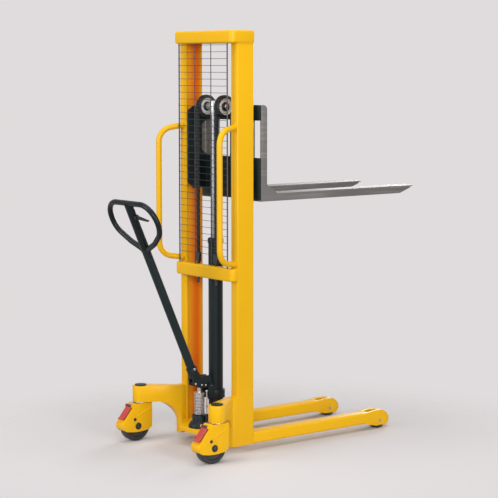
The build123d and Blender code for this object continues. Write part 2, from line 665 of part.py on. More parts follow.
# Leaf chains, in the three stretches that move apart: to the mast, over the sheaves, to the carriage
chain_anchor_z = MIDDLE_BEAM_TOP + ANCHOR_NUT_HEIGHT + CLEVIS_HEIGHT
carriage_clevis_z = LOWER_PLATE_TOP - LUG_DROP
with BuildPart() as chain_mast_runs:
    with BuildSketch(Plane.XY.offset(chain_anchor_z)):
        with Locations(*[(CHAIN_BACK_X, s * SHEAVE_Y) for side, s in SIDES]):
            Rectangle(CHAIN_THICK, CHAIN_WIDTH)
    extrude(amount=SHEAVE_Z - chain_anchor_z)
save(chain_mast_runs, "chain_mast_runs")
with BuildPart() as chain_wraps:
    for side, s in SIDES:
        with BuildSketch(Plane.XZ.offset(-s * SHEAVE_Y)):
            with Locations((RAM_X, SHEAVE_Z)):
                Circle(CHAIN_RADIUS + CHAIN_THICK / 2)
                Circle(CHAIN_RADIUS - CHAIN_THICK / 2, mode=Mode.SUBTRACT)
            with Locations((RAM_X, SHEAVE_Z - SHEAVE_RADIUS)):
                Rectangle(4 * SHEAVE_RADIUS, 2 * SHEAVE_RADIUS, mode=Mode.SUBTRACT)
        extrude(amount=CHAIN_WIDTH / 2, both=True)
save(chain_wraps, "chain_wraps")
with BuildPart() as chain_carriage_runs:
    with BuildSketch(Plane.XY.offset(carriage_clevis_z + CLEVIS_HEIGHT)):
        with Locations(*[(CHAIN_FRONT_X, s * SHEAVE_Y) for side, s in SIDES]):
            Rectangle(CHAIN_THICK, CHAIN_WIDTH)
    extrude(amount=SHEAVE_Z - carriage_clevis_z - CLEVIS_HEIGHT)
save(chain_carriage_runs, "chain_carriage_runs")

# Anchor bolts through the middle beam, with a nut under it and a clevis over it
with BuildPart() as chain_anchors:
    for side, s in SIDES:
        with Locations((CHAIN_BACK_X, s * SHEAVE_Y, ANCHOR_FOOT)):
            Cylinder(
                ANCHOR_RADIUS,
                MIDDLE_BEAM_TOP + ANCHOR_NUT_HEIGHT - ANCHOR_FOOT,
                align=UPWARDS,
            )
        for nut_z in (MIDDLE_BEAM_Z - ANCHOR_NUT_HEIGHT, MIDDLE_BEAM_TOP):
            with BuildSketch(Plane.XY.offset(nut_z)):
                with Locations((CHAIN_BACK_X, s * SHEAVE_Y)):
                    RegularPolygon(ANCHOR_NUT_RADIUS, 6)
            extrude(amount=ANCHOR_NUT_HEIGHT)
        with Locations((CHAIN_BACK_X, s * SHEAVE_Y, MIDDLE_BEAM_TOP + ANCHOR_NUT_HEIGHT)):
            Box(
                CLEVIS_THICK,
                CHAIN_WIDTH + 2 * CLEVIS_WALL,
                CLEVIS_HEIGHT,
                align=UPWARDS,
            )
save(chain_anchors, "chain_anchors")

# Carriage: two notched side plates with roller pins, an upper bar and a lower plate
for side, s in SIDES:
    with BuildPart() as side_plate:
        with BuildSketch(Plane.XZ.offset(-s * SIDE_PLATE_Y)) as web:
            with Locations(((SIDE_PLATE_BACK + CARRIAGE_X) / 2, (SIDE_PLATE_Z + SIDE_PLATE_TOP) / 2)):
                Rectangle(CARRIAGE_X - SIDE_PLATE_BACK, SIDE_PLATE_TOP - SIDE_PLATE_Z)
            with Locations((CARRIAGE_X, (SIDE_NOTCH_Z + SIDE_NOTCH_TOP) / 2)):
                Rectangle(2 * SIDE_NOTCH_DEPTH, SIDE_NOTCH_TOP - SIDE_NOTCH_Z, mode=Mode.SUBTRACT)
            chamfer(web.vertices().group_by(Axis.X)[1], SIDE_NOTCH_CHAMFER)
            chamfer(web.vertices().group_by(Axis.X)[0], SIDE_PLATE_CHAMFER)
        extrude(amount=-s * SIDE_PLATE_THICK)
        with BuildSketch(Plane.XZ.offset(-s * (SIDE_PLATE_Y + SIDE_PLATE_THICK / 2))):
            with Locations(*[(GUIDE_X, z) for level, z in GUIDE_HEIGHTS]):
                Circle(GUIDE_PIN_RADIUS)
        extrude(amount=-s * (GUIDE_PIN_END - SIDE_PLATE_Y - SIDE_PLATE_THICK / 2))
    save(side_plate, f"carriage_{side}_plate")
with BuildPart() as upper_bar:
    with Locations((CARRIAGE_X + CARRIAGE_BAR_THICK / 2, 0, (UPPER_BAR_Z + CARRIAGE_TOP) / 2)):
        Box(CARRIAGE_BAR_THICK, 2 * CARRIAGE_HALF_WIDTH, CARRIAGE_TOP - UPPER_BAR_Z)
    chamfer(upper_bar.edges().filter_by(Axis.X), BAR_CHAMFER)
save(upper_bar, "carriage_upper_bar")
with BuildPart() as lower_plate:
    with Locations((CARRIAGE_X + CARRIAGE_BAR_THICK / 2, 0, (LOWER_PLATE_Z + LOWER_PLATE_TOP) / 2)):
        Box(CARRIAGE_BAR_THICK, 2 * CARRIAGE_HALF_WIDTH, LOWER_PLATE_TOP - LOWER_PLATE_Z)
    chamfer(lower_plate.edges().filter_by(Axis.X), BAR_CHAMFER)
save(lower_plate, "carriage_lower_plate")

# Chain clevises: a lug welded to the lower plate and the block that takes the chain's end
with BuildPart() as chain_clevises:
    for side, s in SIDES:
        with Locations((CARRIAGE_X, s * SHEAVE_Y, carriage_clevis_z)):
            Box(
                CARRIAGE_X - CHAIN_FRONT_X + CHAIN_THICK,
                CHAIN_WIDTH + 2 * CLEVIS_WALL,
                LUG_THICK,
                align=(Align.MAX, Align.CENTER, Align.MAX),
            )
        with Locations((CHAIN_FRONT_X, s * SHEAVE_Y, carriage_clevis_z)):
            Box(
                CLEVIS_THICK,
                CHAIN_WIDTH + 2 * CLEVIS_WALL,
                CLEVIS_HEIGHT,
                align=UPWARDS,
            )
            Cylinder(ANCHOR_RADIUS, CLEVIS_BOLT, align=DOWNWARDS)
save(chain_clevises, "chain_clevises")

# Guide rollers, on the side plates' pins inside the channels
for side, s in SIDES:
    for level, z in GUIDE_HEIGHTS:
        with BuildPart() as guide_roller:
            with BuildSketch(Plane.XZ.offset(-s * GUIDE_ROLLER_Y)):
                with Locations((GUIDE_X, z)):
                    Circle(GUIDE_ROLLER_RADIUS)
                    Circle(GUIDE_PIN_RADIUS + RUNNING, mode=Mode.SUBTRACT)
            extrude(amount=-s * GUIDE_ROLLER_WIDTH)
            rims = guide_roller.edges().filter_by(GeomType.CIRCLE).sort_by(SortBy.RADIUS)[-2:]
            chamfer(rims, RIM_CHAMFER)
        save(guide_roller, f"{side}_{level}_guide_roller")

# Forks: two cheek plates cut in an L under one top plate, the inner one with a flange along its shank
shank_front = FORK_BACK_X + SHANK_DEPTH
fork_under = FORK_TOP - FORK_DEPTH
fork_plate_top = FORK_TOP - FORK_SKIN
for side, s in SIDES:
    with BuildPart() as fork:
        for edge in (1, -1):
            face_y = s * FORK_Y + edge * FORK_WIDTH / 2
            with BuildSketch(Plane.XZ.offset(-face_y)) as cheek:
                with BuildLine():
                    Polyline(
                        (FORK_BACK_X, CARRIAGE_TOP),
                        (FORK_BACK_X, fork_under),
                        (TAPER_X, fork_under),
                        (FORK_TIP_X - TIP_CORNER, FORK_TOP - TIP_DEPTH),
                        (FORK_TIP_X - TIP_CORNER, FORK_TOP),
                        (shank_front + GUSSET_LENGTH, FORK_TOP),
                        (shank_front, FORK_TOP + GUSSET_HEIGHT),
                        (shank_front, CARRIAGE_TOP),
                        close=True,
                    )
                make_face()
                top_front = cheek.vertices().group_by(Axis.Y)[-1].sort_by(Axis.X)[-1]
                fillet(top_front, SHANK_CORNER)
            extrude(amount=edge * FORK_PLATE)
        with BuildSketch(Plane.XY.offset(fork_plate_top)) as blade:
            with Locations(((shank_front + FORK_TIP_X) / 2, s * FORK_Y)):
                Rectangle(FORK_TIP_X - shank_front, FORK_WIDTH)
            fillet(blade.vertices().group_by(Axis.X)[-1], TIP_CORNER)
        extrude(amount=FORK_SKIN)
        with BuildSketch(Plane.XZ.offset(-s * FORK_Y)):
            with BuildLine():
                Polyline(
                    (FORK_BACK_X, fork_under),
                    (FORK_BACK_X, FORK_TOP + GUSSET_HEIGHT),
                    (FORK_BACK_X + FORK_PLATE, FORK_TOP + GUSSET_HEIGHT),
                    (FORK_BACK_X + FORK_PLATE, FORK_TOP),
                    (shank_front + FORK_PLATE, FORK_TOP),
                    (shank_front + FORK_PLATE, fork_plate_top),
                    (FORK_BACK_X + FORK_PLATE, fork_plate_top),
                    (FORK_BACK_X + FORK_PLATE, fork_under),
                    close=True,
                )
            make_face()
        extrude(amount=FORK_WIDTH / 2, both=True)
        flange_y = s * (FORK_Y - FORK_WIDTH / 2 + SHANK_FLANGE / 2)
        with Locations((FORK_BACK_X, flange_y, FORK_TOP)):
            Box(
                FORK_PLATE,
                SHANK_FLANGE,
                CARRIAGE_TOP - FORK_TOP,
                align=(Align.MIN, Align.CENTER, Align.MIN),
            )
    save(fork, f"{side}_fork")

# Pump body: a flange, a flared skirt and a barrel with the plunger's bore
with BuildPart() as pump_body:
    with BuildSketch(Plane(origin=(PUMP_X, 0, 0), x_dir=(1, 0, 0), z_dir=(0, -1, 0))):
        with BuildLine():
            bore = PLUNGER_RADIUS + RUNNING
            bore_floor = BASE_TOP + PUMP_FLOOR
            flange_top = BASE_TOP + PUMP_FLANGE_HEIGHT
            flange = Polyline(
                (bore, PUMP_TOP),
                (bore, bore_floor),
                (0, bore_floor),
                (0, BASE_TOP),
                (PUMP_FLANGE_RADIUS, BASE_TOP),
                (PUMP_FLANGE_RADIUS, flange_top),
            )
            TangentArc(flange @ 1, (PUMP_RADIUS, PUMP_DOME_TOP), tangent=(-1, PUMP_DOME_SLOPE))
            Polyline((PUMP_RADIUS, PUMP_DOME_TOP), (PUMP_RADIUS, PUMP_TOP), (bore, PUMP_TOP))
        make_face()
    revolve(axis=Axis((PUMP_X, 0, 0), (0, 0, 1)))
    with Locations((VALVE_X, VALVE_Y, BASE_TOP)):
        Cylinder(VALVE_RADIUS, VALVE_TOP - BASE_TOP, align=UPWARDS)
    with Locations((VALVE_X, VALVE_Y, VALVE_TOP)):
        Hole(VALVE_ROD_RADIUS + RUNNING, depth=VALVE_TOP - VALVE_SEAT_Z)
save(pump_body, "pump_body")

# Plunger: rod, spring seat and the head that the tiller's roller presses
roller_angle = math.radians(PUMP_ARM_ANGLE)
roller_x = TILLER_PIVOT_X - PUMP_ARM * math.cos(roller_angle)
roller_z = TILLER_PIVOT_Z + PUMP_ARM * math.sin(roller_angle)
head_top = roller_z - PUMP_ROLLER_RADIUS - HEAD_GAP
with BuildPart() as pump_plunger:
    with Locations((PUMP_X, 0, PLUNGER_FOOT)):
        Cylinder(PLUNGER_RADIUS, SPRING_SEAT_Z - PLUNGER_FOOT, align=UPWARDS)
    with Locations((PUMP_X, 0, SPRING_SEAT_Z)):
        Cylinder(SPRING_SEAT_RADIUS, SPRING_SEAT_HEIGHT, align=UPWARDS)
        Cylinder(PLUNGER_HEAD_RADIUS, head_top - SPRING_SEAT_Z, align=UPWARDS)
save(pump_plunger, "pump_plunger")

# Return spring round the plunger: one wire wound in biarcs, with straight ends
spring_low = PUMP_TOP + SPRING_WIRE / 2 + REST_GAP
spring_high = SPRING_SEAT_Z - SPRING_WIRE / 2 - REST_GAP
knots = biarc_helix(PUMP_X, SPRING_RADIUS, spring_low, spring_high, SPRING_TURNS)
with BuildPart() as pump_spring:
    with BuildLine() as wire_route:
        first_point, first_tangent = knots[0]
        last_point, last_tangent = knots[-1]
        level_out = Vector(first_tangent.X, first_tangent.Y, 0).normalized() * SPRING_WIRE
        Line(first_point - level_out, first_point)
        for start, end in zip(knots, knots[1:]):
            middle = biarc_joint(start, end)
            first_half = TangentArc(start[0], middle, tangent=start[1])
            TangentArc(middle, end[0], tangent=first_half % 1)
        Line(last_point, last_point + Vector(last_tangent.X, last_tangent.Y, 0).normalized() * SPRING_WIRE)
    with BuildSketch(wire_route.line ^ 0):
        Circle(SPRING_WIRE / 2)
    sweep()
save(pump_spring, "pump_spring")
spring_wire = wire_route.wires()[0]
SAMPLES = 300
samples = [spring_wire @ (i / SAMPLES) for i in range(SAMPLES + 1)]
half_turn = SAMPLES // SPRING_TURNS // 2
centre_gap = min(
    (samples[i] - samples[j]).length for i in range(SAMPLES) for j in range(i + half_turn, SAMPLES + 1)
)
swept = math.pi * SPRING_WIRE**2 / 4 * spring_wire.length
print("spring: least gap to itself", round(centre_gap - SPRING_WIRE, 2))
print("spring: volume over section times length", round(pump_spring.part.volume / swept, 3))

# Release valve's rod beside the pump
with BuildPart() as valve_rod:
    with Locations((VALVE_X, VALVE_Y, VALVE_SEAT_Z + VALVE_LIFT_ROOM)):
        Cylinder(VALVE_ROD_RADIUS, VALVE_ROD_TOP - VALVE_SEAT_Z - VALVE_LIFT_ROOM, align=UPWARDS)
    with Locations((VALVE_X, VALVE_Y, VALVE_COLLAR_Z)):
        Cylinder(VALVE_COLLAR_RADIUS, VALVE_COLLAR_HEIGHT, align=UPWARDS)
    with Locations((VALVE_X, VALVE_Y, VALVE_ROD_TOP)):
        Sphere(VALVE_BALL_RADIUS)
save(valve_rod, "valve_rod")

# Bracket clamped on the cylinder, whose ears carry the tiller's pivot pin
ear_rear = TILLER_PIVOT_X - EAR_RADIUS
with BuildPart() as tiller_bracket:
    with Locations((RAM_X, 0, BRACKET_Z)):
        Cylinder(CYLINDER_RADIUS + BRACKET_WALL, BRACKET_HEIGHT, align=UPWARDS)
    for edge in (1, -1):
        with BuildSketch(Plane.XZ.offset(-edge * EAR_Y)):
            with Locations((ear_rear, BRACKET_Z)):
                Rectangle(RAM_X - ear_rear, TILLER_PIVOT_Z - BRACKET_Z, align=(Align.MIN, Align.MIN))
            with Locations((TILLER_PIVOT_X, TILLER_PIVOT_Z)):
                Circle(EAR_RADIUS)
                Circle(TILLER_PIN_RADIUS + SEAT_FIT, mode=Mode.SUBTRACT)
        extrude(amount=-edge * EAR_THICK)
    with Locations((RAM_X, 0, TILLER_PIVOT_Z)):
        Hole(CYLINDER_RADIUS + SEAT_FIT)
save(tiller_bracket, "tiller_bracket")
with BuildPart() as tiller_pin:
    with BuildSketch(Plane.XZ):
        with Locations((TILLER_PIVOT_X, TILLER_PIVOT_Z)):
            Circle(TILLER_PIN_RADIUS)
    extrude(amount=TILLER_PIN_HALF, both=True)
    chamfer(tiller_pin.edges(), RIM_CHAMFER)
save(tiller_pin, "tiller_pin")

# Tiller's foot: two cheeks from the pivot to the tube, with the roller pin between them
tube_plane = Plane(
    origin=on_tiller(0), x_dir=(math.cos(tiller_lean), 0, math.sin(tiller_lean)),
    z_dir=(-math.sin(tiller_lean), 0, math.cos(tiller_lean)),
)
with BuildPart() as tiller_foot:
    for edge in (1, -1):
        with BuildSketch(Plane.XZ.offset(-edge * CHEEK_Y)):
            with Locations((roller_x, roller_z)):
                Circle(CHEEK_RADIUS)
            with Locations((STOP_PIN_X, STOP_PIN_Z)):
                Circle(STOP_BOSS)
            with Locations((TILLER_FOOT_X, TILLER_FOOT_Z)):
                Circle(TILLER_RADIUS)
            make_hull()
        extrude(amount=-edge * CHEEK_THICK)
        with BuildSketch(Plane.XZ.offset(-edge * CHEEK_Y)):
            with Locations((TILLER_PIVOT_X, TILLER_PIVOT_Z), (roller_x, roller_z)):
                Circle(CHEEK_RADIUS)
            with Locations(*[(x, CROWN_Z) for x in CROWN_X]):
                Circle(CROWN_RADIUS)
            make_hull()
        extrude(amount=-edge * CHEEK_THICK)
        with BuildSketch(Plane.XZ.offset(-edge * CHEEK_Y)):
            with Locations((TILLER_PIVOT_X, TILLER_PIVOT_Z)):
                Circle(TILLER_PIN_RADIUS + RUNNING)
        extrude(amount=-edge * CHEEK_THICK, mode=Mode.SUBTRACT)
    with BuildSketch(tube_plane.offset(-SOCKET_FLOOR)):
        Circle(TILLER_RADIUS + SOCKET_WALL)
    extrude(amount=SOCKET_FLOOR + SOCKET_DEPTH)
    with BuildSketch(tube_plane):
        Circle(TILLER_RADIUS)
    extrude(amount=TILLER_TUBE, mode=Mode.SUBTRACT)
    with BuildSketch(Plane.XZ):
        with Locations((roller_x, roller_z)):
            Circle(ROLLER_PIN_RADIUS)
    extrude(amount=ROLLER_PIN_HALF, both=True)
    with BuildSketch(Plane.XZ):
        with Locations((STOP_PIN_X, STOP_PIN_Z)):
            Circle(STOP_PIN_RADIUS)
    extrude(amount=STOP_PIN_HALF, both=True)
save(tiller_foot, "tiller_foot")
with BuildPart() as tiller_tube:
    with BuildSketch(tube_plane):
        Circle(TILLER_RADIUS)
        Circle(TILLER_RADIUS - TUBE_WALL, mode=Mode.SUBTRACT)
    extrude(amount=TILLER_TUBE)
save(tiller_tube, "tiller_tube")
with BuildPart() as pump_roller:
    with BuildSketch(Plane.XZ):
        with Locations((roller_x, roller_z)):
            Circle(PUMP_ROLLER_RADIUS)
            Circle(ROLLER_PIN_RADIUS + RUNNING, mode=Mode.SUBTRACT)
    extrude(amount=PUMP_ROLLER_WIDTH / 2, both=True)
save(pump_roller, "pump_roller")

# Grip: a closed loop of bent tube round a central stem
tiller_front = (math.cos(tiller_lean), 0, math.sin(tiller_lean))
loop_plane = Plane(origin=on_tiller(0), x_dir=(0, 1, 0), z_dir=tiller_front)
lever_plane = Plane(origin=on_tiller(LEVER_HEIGHT), x_dir=(0, -1, 0), z_dir=tiller_front)
with BuildPart() as grip_loop:
    with BuildLine(loop_plane) as loop_route:
        half_loop = [
            (GRIP_ROOT_HALF, GRIP_ROOT_HEIGHT),
            GRIP_KNEE,
            (GRIP_BAR_HALF, GRIP_SIDE_HEIGHT),
            (GRIP_BAR_HALF, GRIP_BAR_HEIGHT),
        ]
        FilletPolyline(*half_loop, *[(-x, z) for x, z in reversed(half_loop)], radius=GRIP_CORNER)
    with BuildSketch(loop_route.line ^ 0):
        Circle(GRIP_RADIUS)
        Circle(GRIP_RADIUS - TUBE_WALL, mode=Mode.SUBTRACT)
    sweep()
    with BuildSketch(tube_plane.offset(TILLER_TUBE)):
        Circle(TILLER_RADIUS)
    with BuildSketch(tube_plane.offset(GRIP_BAR_HEIGHT)):
        Circle(STEM_RADIUS)
    loft()
    for edge in (1, -1):
        with BuildSketch(lever_plane.offset(edge * (LEVER_DEPTH / 2 + LEVER_GAP))):
            with Locations((0, 0), (-LEVER_PIN_Y, 0)):
                Circle(LEVER_BOSS)
            make_hull()
        extrude(amount=edge * LEVER_LUG)
    with BuildSketch(lever_plane):
        with Locations((-LEVER_PIN_Y, 0)):
            Circle(LEVER_PIN_RADIUS)
    extrude(amount=LEVER_DEPTH / 2 + LEVER_GAP + LEVER_LUG, both=True)
    with BuildSketch(tube_plane):
        Circle(2 * TILLER_RADIUS)
    extrude(amount=TILLER_TUBE, mode=Mode.SUBTRACT)
save(grip_loop, "grip_loop")

# Finger lever that opens the release valve
with BuildPart() as release_lever:
    with BuildSketch(lever_plane):
        with Locations((-LEVER_PIN_Y, 0)):
            Circle(LEVER_BOSS)
        with Locations((LEVER_REACH, LEVER_DROP)):
            Circle(LEVER_THICK / 2)
        make_hull()
        with Locations((-LEVER_PIN_Y, 0)):
            Circle(LEVER_PIN_RADIUS + RUNNING, mode=Mode.SUBTRACT)
    extrude(amount=LEVER_DEPTH / 2, both=True)
save(release_lever, "release_lever")

# Castors: a stamped housing on its kingpin, an axle bolt, a wheel and a brake pedal
front = KINGPIN_X + CASTOR_FRONT
nose_x = KINGPIN_X - CASTOR_REAR
axle_x = KINGPIN_X - CASTOR_TRAIL
axle_x_z = (axle_x, CASTOR_RADIUS)
outer = CASTOR_GAP / 2 + CASTOR_PLATE
slope_top = Vector(KINGPIN_X - SLOPE_START, CASTOR_TOP)
slope_foot = Vector(nose_x + NOSE_RISE, SLOPE_FOOT)
down = (slope_foot - slope_top).normalized()
out = Vector(down.Y, -down.X)
inner_slope = slope_top - out * CASTOR_PLATE
inner_roof = inner_slope + down * ((CASTOR_TOP - CASTOR_ROOF - inner_slope.Y) / down.Y)
inner_foot = slope_foot - out * CASTOR_PLATE
hinge = slope_top + down * PEDAL_HINGE_DROP + out * (PEDAL_BARREL + PEDAL_GAP)
for side, s in SIDES:
    y = s * KINGPIN_Y
    with BuildPart() as castor_housing:
        with BuildSketch(Plane.XZ.offset(-y)):
            with BuildLine():
                heel = (front - HEEL_LENGTH, CASTOR_SKIRT)
                Polyline(heel, (front, HEEL_Z), (front, CASTOR_TOP), slope_top, slope_foot)
                nose = TangentArc(slope_foot, (nose_x + NOSE_TUCK, CASTOR_SKIRT), tangent=down)
                ThreePointArc(nose @ 1, (axle_x, CASTOR_SKIRT - SKIRT_SAG), heel)
            make_face()
        extrude(amount=outer, both=True)
        with BuildSketch(Plane.XZ.offset(-y)):
            with BuildLine():
                Polyline(
                    (front + CASTOR_PLATE, 0),
                    (front + CASTOR_PLATE, CASTOR_TOP - CASTOR_ROOF),
                    inner_roof,
                    inner_foot,
                    (inner_foot.X, 0),
                    close=True,
                )
            make_face()
        extrude(amount=CASTOR_GAP / 2, both=True, mode=Mode.SUBTRACT)
        for edge in (1, -1):
            ear_y = y + edge * (PEDAL_WIDTH / 2 + PEDAL_GAP)
            with BuildSketch(Plane.XZ.offset(-ear_y)):
                with Locations(hinge, hinge - out * PEDAL_BARREL):
                    Circle(PEDAL_BARREL)
                make_hull()
                with Locations(axle_x_z):
                    Circle(CASTOR_RADIUS + WHEEL_ROOM, mode=Mode.SUBTRACT)
            extrude(amount=-edge * PEDAL_EAR)
        with BuildSketch(Plane.XZ.offset(-y)):
            with Locations(hinge):
                Circle(PEDAL_PIN_RADIUS)
        extrude(amount=PEDAL_WIDTH / 2 + PEDAL_GAP + PEDAL_EAR, both=True)
        with Locations((KINGPIN_X, y, CASTOR_TOP)):
            Cylinder(
                RACE_RADIUS,
                ARM_UNDERSIDE - REST_GAP - CASTOR_TOP,
                align=UPWARDS,
            )
            Cylinder(
                KINGPIN_RADIUS,
                ARM_TOP + REST_GAP - CASTOR_TOP,
                align=UPWARDS,
            )
        with Locations((KINGPIN_X, y, ARM_TOP + REST_GAP)):
            Cylinder(CAP_RADIUS, CAP_HEIGHT, align=UPWARDS)
        with BuildSketch(Plane.XZ.offset(-y)):
            with Locations(axle_x_z):
                Circle(CASTOR_BOLT_RADIUS + SEAT_FIT)
        extrude(amount=2 * outer, both=True, mode=Mode.SUBTRACT)
    save(castor_housing, f"{side}_castor_housing")
    with BuildPart() as castor_axle:
        with BuildSketch(Plane.XZ.offset(-y)):
            with Locations(axle_x_z):
                Circle(CASTOR_BOLT_RADIUS)
        extrude(amount=outer, both=True)
        for edge in (1, -1):
            with BuildSketch(Plane.XZ.offset(-y - edge * outer)):
                with Locations(axle_x_z):
                    RegularPolygon(CASTOR_BOLT_HEAD, 6)
            extrude(amount=-edge * CASTOR_HEAD_HEIGHT)
    save(castor_axle, f"{side}_castor_axle")
    with BuildPart() as castor_wheel:
        half = CASTOR_WIDTH / 2
        profile = [
            (CASTOR_BOLT_RADIUS + RUNNING, HUB_HALF),
            (HUB_RADIUS, HUB_HALF),
            (HUB_RADIUS + WHEEL_BEVEL, half - WHEEL_DISH),
            (TREAD_INNER - WHEEL_BEVEL, half - WHEEL_DISH),
            (TREAD_INNER, half),
            (CASTOR_RADIUS - WHEEL_BEVEL, half),
            (CASTOR_RADIUS, half - WHEEL_BEVEL),
        ]
        with BuildSketch(Plane(origin=(axle_x, y, CASTOR_RADIUS), x_dir=(1, 0, 0), z_dir=(0, 0, 1))):
            Polygon(*profile, *[(r, -w) for r, w in reversed(profile)], align=None)
        revolve(axis=Axis((axle_x, y, CASTOR_RADIUS), (0, 1, 0)))
    save(castor_wheel, f"{side}_castor_wheel")
    with BuildPart() as brake_pedal:
        plate_gap = out * 2 * PEDAL_GAP
        plate_top = plate_gap + out * PEDAL_THICK
        pedal_outline = [
            slope_top + down * PEDAL_HINGE_DROP + plate_gap,
            slope_top + down * (PEDAL_LENGTH - PEDAL_LIP) + plate_gap,
            slope_top + down * PEDAL_LENGTH + plate_top + out * PEDAL_LIP / 2,
            slope_top + down * (PEDAL_LENGTH - 1.5 * PEDAL_LIP) + plate_top,
            slope_top + down * PEDAL_HINGE_DROP + plate_top,
        ]
        with BuildSketch(Plane.XZ.offset(-y)):
            with BuildLine():
                Polyline(*pedal_outline, close=True)
            make_face()
            with Locations(hinge):
                Circle(PEDAL_BARREL)
                Circle(PEDAL_PIN_RADIUS + RUNNING, mode=Mode.SUBTRACT)
        extrude(amount=PEDAL_WIDTH / 2, both=True)
    save(brake_pedal, f"{side}_brake_pedal")
print("pedal hinge", round(hinge.X, 3), round(hinge.Y, 3))
print("tiller pivot", TILLER_PIVOT_X, TILLER_PIVOT_Z, "pump roller", round(roller_x, 3), round(roller_z, 3))
print("fork tip", round(FORK_TIP_X, 2), "ram", RAM_X, "chain radius", CHAIN_RADIUS)
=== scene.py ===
# %% [markdown]
# # A single-mast stacker
# A stacker is a lift truck that one person pushes, steers and pumps by hand. Its steel parts arrive here as
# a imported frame, in metres, with every piece already in its place. This lesson dresses that frame: a camera
# and light first, then the finishes, then the pieces that a plain solid can't show well, such as wire,
# chain, spring and weld.

# %% Load the frame
import json
import math

import bpy
from mathutils import Matrix, Vector


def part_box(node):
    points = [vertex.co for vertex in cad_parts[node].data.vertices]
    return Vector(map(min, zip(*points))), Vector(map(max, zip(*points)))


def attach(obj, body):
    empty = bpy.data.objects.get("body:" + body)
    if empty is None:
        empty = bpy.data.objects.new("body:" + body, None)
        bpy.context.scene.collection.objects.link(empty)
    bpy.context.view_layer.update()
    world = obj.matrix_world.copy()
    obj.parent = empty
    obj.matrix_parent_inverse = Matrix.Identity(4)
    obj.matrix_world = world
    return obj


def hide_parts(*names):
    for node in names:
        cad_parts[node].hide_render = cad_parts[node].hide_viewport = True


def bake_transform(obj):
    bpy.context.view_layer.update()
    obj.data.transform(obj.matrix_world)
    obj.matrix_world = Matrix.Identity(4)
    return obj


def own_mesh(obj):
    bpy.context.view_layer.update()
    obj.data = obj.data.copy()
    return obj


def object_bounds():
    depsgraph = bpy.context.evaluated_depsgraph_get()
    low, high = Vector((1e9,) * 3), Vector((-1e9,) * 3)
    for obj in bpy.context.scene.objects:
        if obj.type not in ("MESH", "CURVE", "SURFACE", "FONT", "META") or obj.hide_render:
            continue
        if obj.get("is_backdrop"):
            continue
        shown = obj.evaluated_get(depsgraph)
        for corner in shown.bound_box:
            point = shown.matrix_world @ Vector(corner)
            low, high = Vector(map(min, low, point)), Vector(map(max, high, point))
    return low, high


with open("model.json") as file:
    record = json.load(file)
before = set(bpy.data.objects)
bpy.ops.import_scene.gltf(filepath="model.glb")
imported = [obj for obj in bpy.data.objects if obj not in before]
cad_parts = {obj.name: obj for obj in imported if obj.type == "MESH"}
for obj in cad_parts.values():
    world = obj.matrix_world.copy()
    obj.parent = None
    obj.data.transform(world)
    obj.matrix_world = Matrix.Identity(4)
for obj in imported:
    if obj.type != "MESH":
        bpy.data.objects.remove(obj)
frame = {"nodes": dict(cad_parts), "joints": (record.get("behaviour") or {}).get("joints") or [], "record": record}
nodes = frame["nodes"]
cad_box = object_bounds()
bodies = frame["record"]["behaviour"]["bodies"]
body_of = {node: body for body, members in bodies.items() for node in members}
slot_of = {part["node"]: part["material_slot"] for part in frame["record"]["subparts"]}

# %% [markdown]
# ## Camera
# The truck was photographed from behind and to its right, from just under the height of its mast, with a
# long lens. A long lens keeps upright columns nearly parallel, so the camera stands about eight metres
# away. Its place and its two angles come from fitting a pinhole camera to corners whose true positions are
# known.

# %% Place the camera
CAMERA_PLACE = (-5.1538, -6.4794, 1.8380)
CAMERA_YAW = 51.907     # degrees from +X towards +Y
CAMERA_DIP = 6.209      # degrees below level
LENS_MM = 122.226
SENSOR_MM = 36
SIGHT_LIMIT = 60        # metres
TRUCK_MIDDLE = (0, 0, 1)

bpy.ops.object.camera_add(
    location=CAMERA_PLACE,
    rotation=(math.radians(90 - CAMERA_DIP), 0, math.radians(CAMERA_YAW - 90)),
)
camera = bpy.context.object
camera.data.lens = LENS_MM
camera.data.sensor_width = SENSOR_MM
camera.data.clip_end = SIGHT_LIMIT
bpy.context.scene.camera = camera
bpy.context.scene.view_settings.view_transform = "Standard"
camera_distance = (Vector(CAMERA_PLACE) - Vector(TRUCK_MIDDLE)).length
print("camera", round(camera_distance, 2), "m from the truck's middle")

# %% [markdown]
# ## Writing shader maths
# Node trees soon turn into long lists of links. A small class that wraps a socket keeps them readable: when
# two wrapped sockets are added or multiplied in Python, it adds the Math node for them. A second class
# holds one tree, and its `add` method makes any other node from its type, its settings and its sockets.

# %% A socket that can be used in a sum
class Value:
    """A socket that adds a Math node when it is used in a Python expression."""

    def __init__(self, recipe, socket):
        self.recipe = recipe
        self.socket = socket

    def maths(self, operation, first, second):
        """The Math node of one operation."""
        return self.recipe.add("ShaderNodeMath", {"operation": operation}, {0: first, 1: second})

    def __add__(self, other):
        return self.maths("ADD", self, other)

    def __sub__(self, other):
        return self.maths("SUBTRACT", self, other)

    def __rsub__(self, other):
        return self.maths("SUBTRACT", other, self)

    def __mul__(self, other):
        return self.maths("MULTIPLY", self, other)

    __radd__ = __add__
    __rmul__ = __mul__


print("sums of sockets add Math nodes")

# %% A tree of nodes, written as a recipe
EVEN = (1, 1, 1)
MIX_FACTOR, MIX_FIRST, MIX_SECOND, MIX_RESULT = 0, 6, 7, 2      # a Mix node's sockets for colours


